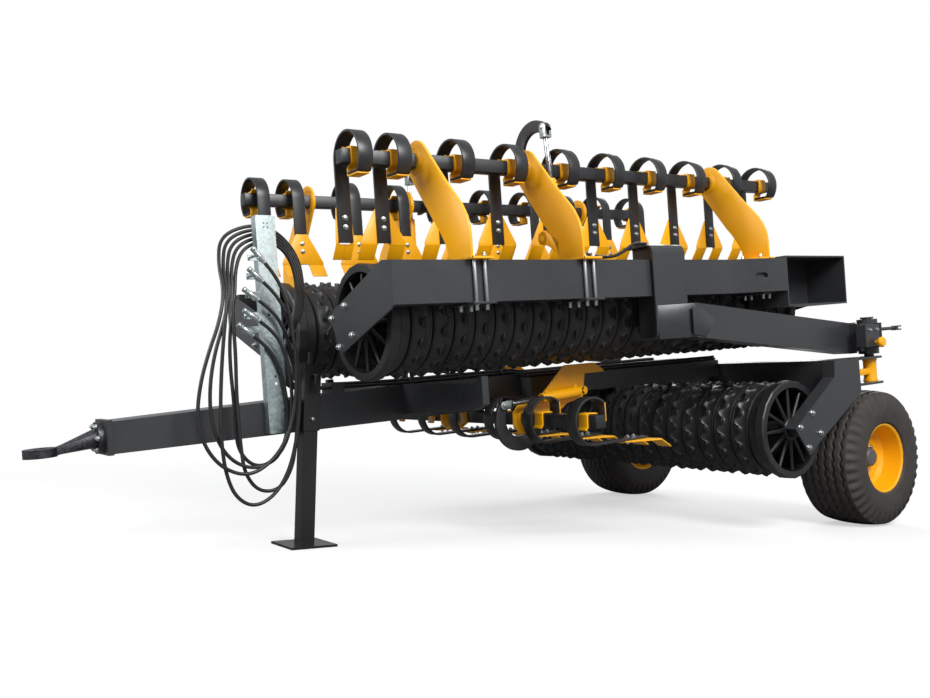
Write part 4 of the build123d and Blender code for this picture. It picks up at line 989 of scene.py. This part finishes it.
# Tow eye bolts and jack fittings. Six zinc plated bolts hold the forged eye's flange to the nose
# of the drawbar. The jack has a bent round steel handle and a plain pin through its sleeve.
nose_face = 4.503
nose_height = 1.031
nose_circle = 0.060
nose_bolts = []
for i in range(6):
    a = 2 * math.pi * i / 6
    spot = (nose_face, nose_circle * math.cos(a), nose_height + nose_circle * math.sin(a))
    nose_bolts.append(copy_of(bolt, "bolt", facing(spot, (1, 0, 0), a)))
settle(welded("nose_bolts", nose_bolts), zinc, "frame")
drop(bolt, big_bolt)
# Black powder coat on the jack, the bearings and the pipes: deep, with a sharp highlight.
black = paint("black_powder_coat", "#121213", "#202021", 0.32)
jack_x = 3.545
handle = [
    rod("jack_handle", (jack_x, 0.196, 0.860), (jack_x, 0.232, 0.860), 0.010),
    rod("jack_grip", (jack_x, 0.228, 0.868), (jack_x, 0.228, 0.770), 0.008),
]
settle(welded("jack_handle", handle), black, "frame", level=True)
jack_pin = rod("jack_pin", (jack_x, 0.095, 0.640), (jack_x, 0.214, 0.640), 0.009)
settle(jack_pin, zinc, "frame", level=True)

# Pipes. Black steel pipes carry the oil from the gland back along the drawbar and the legs,
# clipped side by side, and one feeds the cylinder on each wing.
pipes = []
for layer, offsets in ((0, (-0.044, -0.022, 0.0, 0.022, 0.044)), (1, (-0.033, -0.011, 0.011, 0.033))):
    for offset in offsets:
        height = 0.009 + 0.0155 * layer
        run = [
            (3.250, offset, 1.157 + height), (2.900, offset, 1.147 + height),
            (2.060, offset, 1.147 + height), (1.960, offset, 1.128 + height),
            (1.560, offset, 1.128 + height),
        ]
        for start, end in zip(run, run[1:]):
            pipes.append(rod("pipe", start, end, 0.0085, 12, 0.0))
for offset, layer in ((-0.030, 0), (-0.010, 0), (0.010, 0), (0.030, 0), (-0.020, 1), (0.0, 1), (0.020, 1)):
    height = 1.125 + 0.009 + 0.0155 * layer
    for side in (1, -1):
        pipes.append(rod("pipe", (2.060, side * (0.150 + offset), height),
                         (0.480, side * (0.279 + offset), height), 0.0085, 12, 0.0))
for x in (2.780, 2.440, 2.120):
    pipes.append(plate("clip", [
        (x, -0.062), (x + 0.030, -0.062), (x + 0.030, 0.062), (x, 0.062),
    ], 1.145, 1.1845, "z", 0.003))
settle(welded("drawbar_pipes", pipes), black, "frame")
feed = bpy.data.curves.new("wing_pipe", "CURVE")
feed.dimensions = "3D"
spline = feed.splines.new("NURBS")
feed_points = [
    (2.290, 0.870, 1.835), (2.270, 0.930, 1.790), (2.180, 0.960, 1.760), (2.060, 0.960, 1.756),
    (1.960, 0.955, 1.790), (1.870, 0.940, 1.835), (1.800, 0.930, 1.836), (1.760, 0.930, 1.836),
]
spline.points.add(len(feed_points) - 1)
for point, place in zip(spline.points, feed_points):
    point.co = (*place, 1.0)
spline.order_u = 3
spline.use_endpoint_u = True
spline.resolution_u = 8
feed.bevel_depth = 0.009
feed.bevel_resolution = 3
feed_pipe = bpy.data.objects.new("wing_pipe", feed)
bpy.context.collection.objects.link(feed_pipe)
bpy.ops.object.select_all(action="DESELECT")
feed_pipe.select_set(True)
bpy.context.view_layer.objects.active = feed_pipe
bpy.ops.object.convert(target="MESH")
feed_pipe = bpy.context.object
bpy.ops.object.shade_smooth_by_angle(angle=math.radians(40.0))
settle_both(feed_pipe, black, "wing_{}")

# Gussets. Cut from plate and painted with the chassis: a wedge and a pointed tongue are welded on
# where each wing's arm meets the folded plate round the beam.
wedge = plate("wing_gusset", [
    (1.796, 1.011), (1.602, 1.1185), (1.602, 1.011),
], 1.301, 1.489, "z", 0.004)
tongue = plate("tongue", [
    (1.640, 1.318), (1.640, 1.470), (1.560, 1.462), (1.455, 1.384), (1.540, 1.300),
], 1.118, 1.126, "y", 0.002)
settle_both(welded("wing_gusset", [wedge, tongue]), charcoal, "wing_{}")

# Plain pieces. The welded frame, beams and rockers, the bearings, the tow eye, the hose holder and
# the jack have all their shape in their solids, and get their coats here.
# Hot dip galvanized plate: pale and a little green, with soft crystals about 11 mm across.
galvanized = metal("hot_dip_galvanized_steel", "#b4c1c2", "#cbd8d8", 0.38, 90.0, 0.08)
# The forged eye's bare steel: dark, dull and uneven, with patches of about 5 mm.
forged = metal("forged_eye_steel", "#3c3c40", "#5c5c62", 0.46, 200.0, 0.3)
coats = {
    "centre_beam": charcoal, "frame_legs": charcoal, "drawbar": charcoal,
    "wheel_rockers": charcoal, "centre_bearings": black,
    "tow_eye": forged, "centre_bar_arms": yellow, "hose_holder": galvanized,
    "jack_leg": black, "jack_sleeve": black,
}
for side in ("left", "right"):
    coats[f"wing_beam_{side}"] = charcoal
    coats[f"wing_carrier_{side}"] = charcoal
    coats[f"wing_bearings_{side}"] = black
for name, coat in coats.items():
    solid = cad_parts[name]
    if solid.material_slots:
        for held in solid.material_slots:
            held.material = coat
    else:
        solid.data.materials.append(coat)
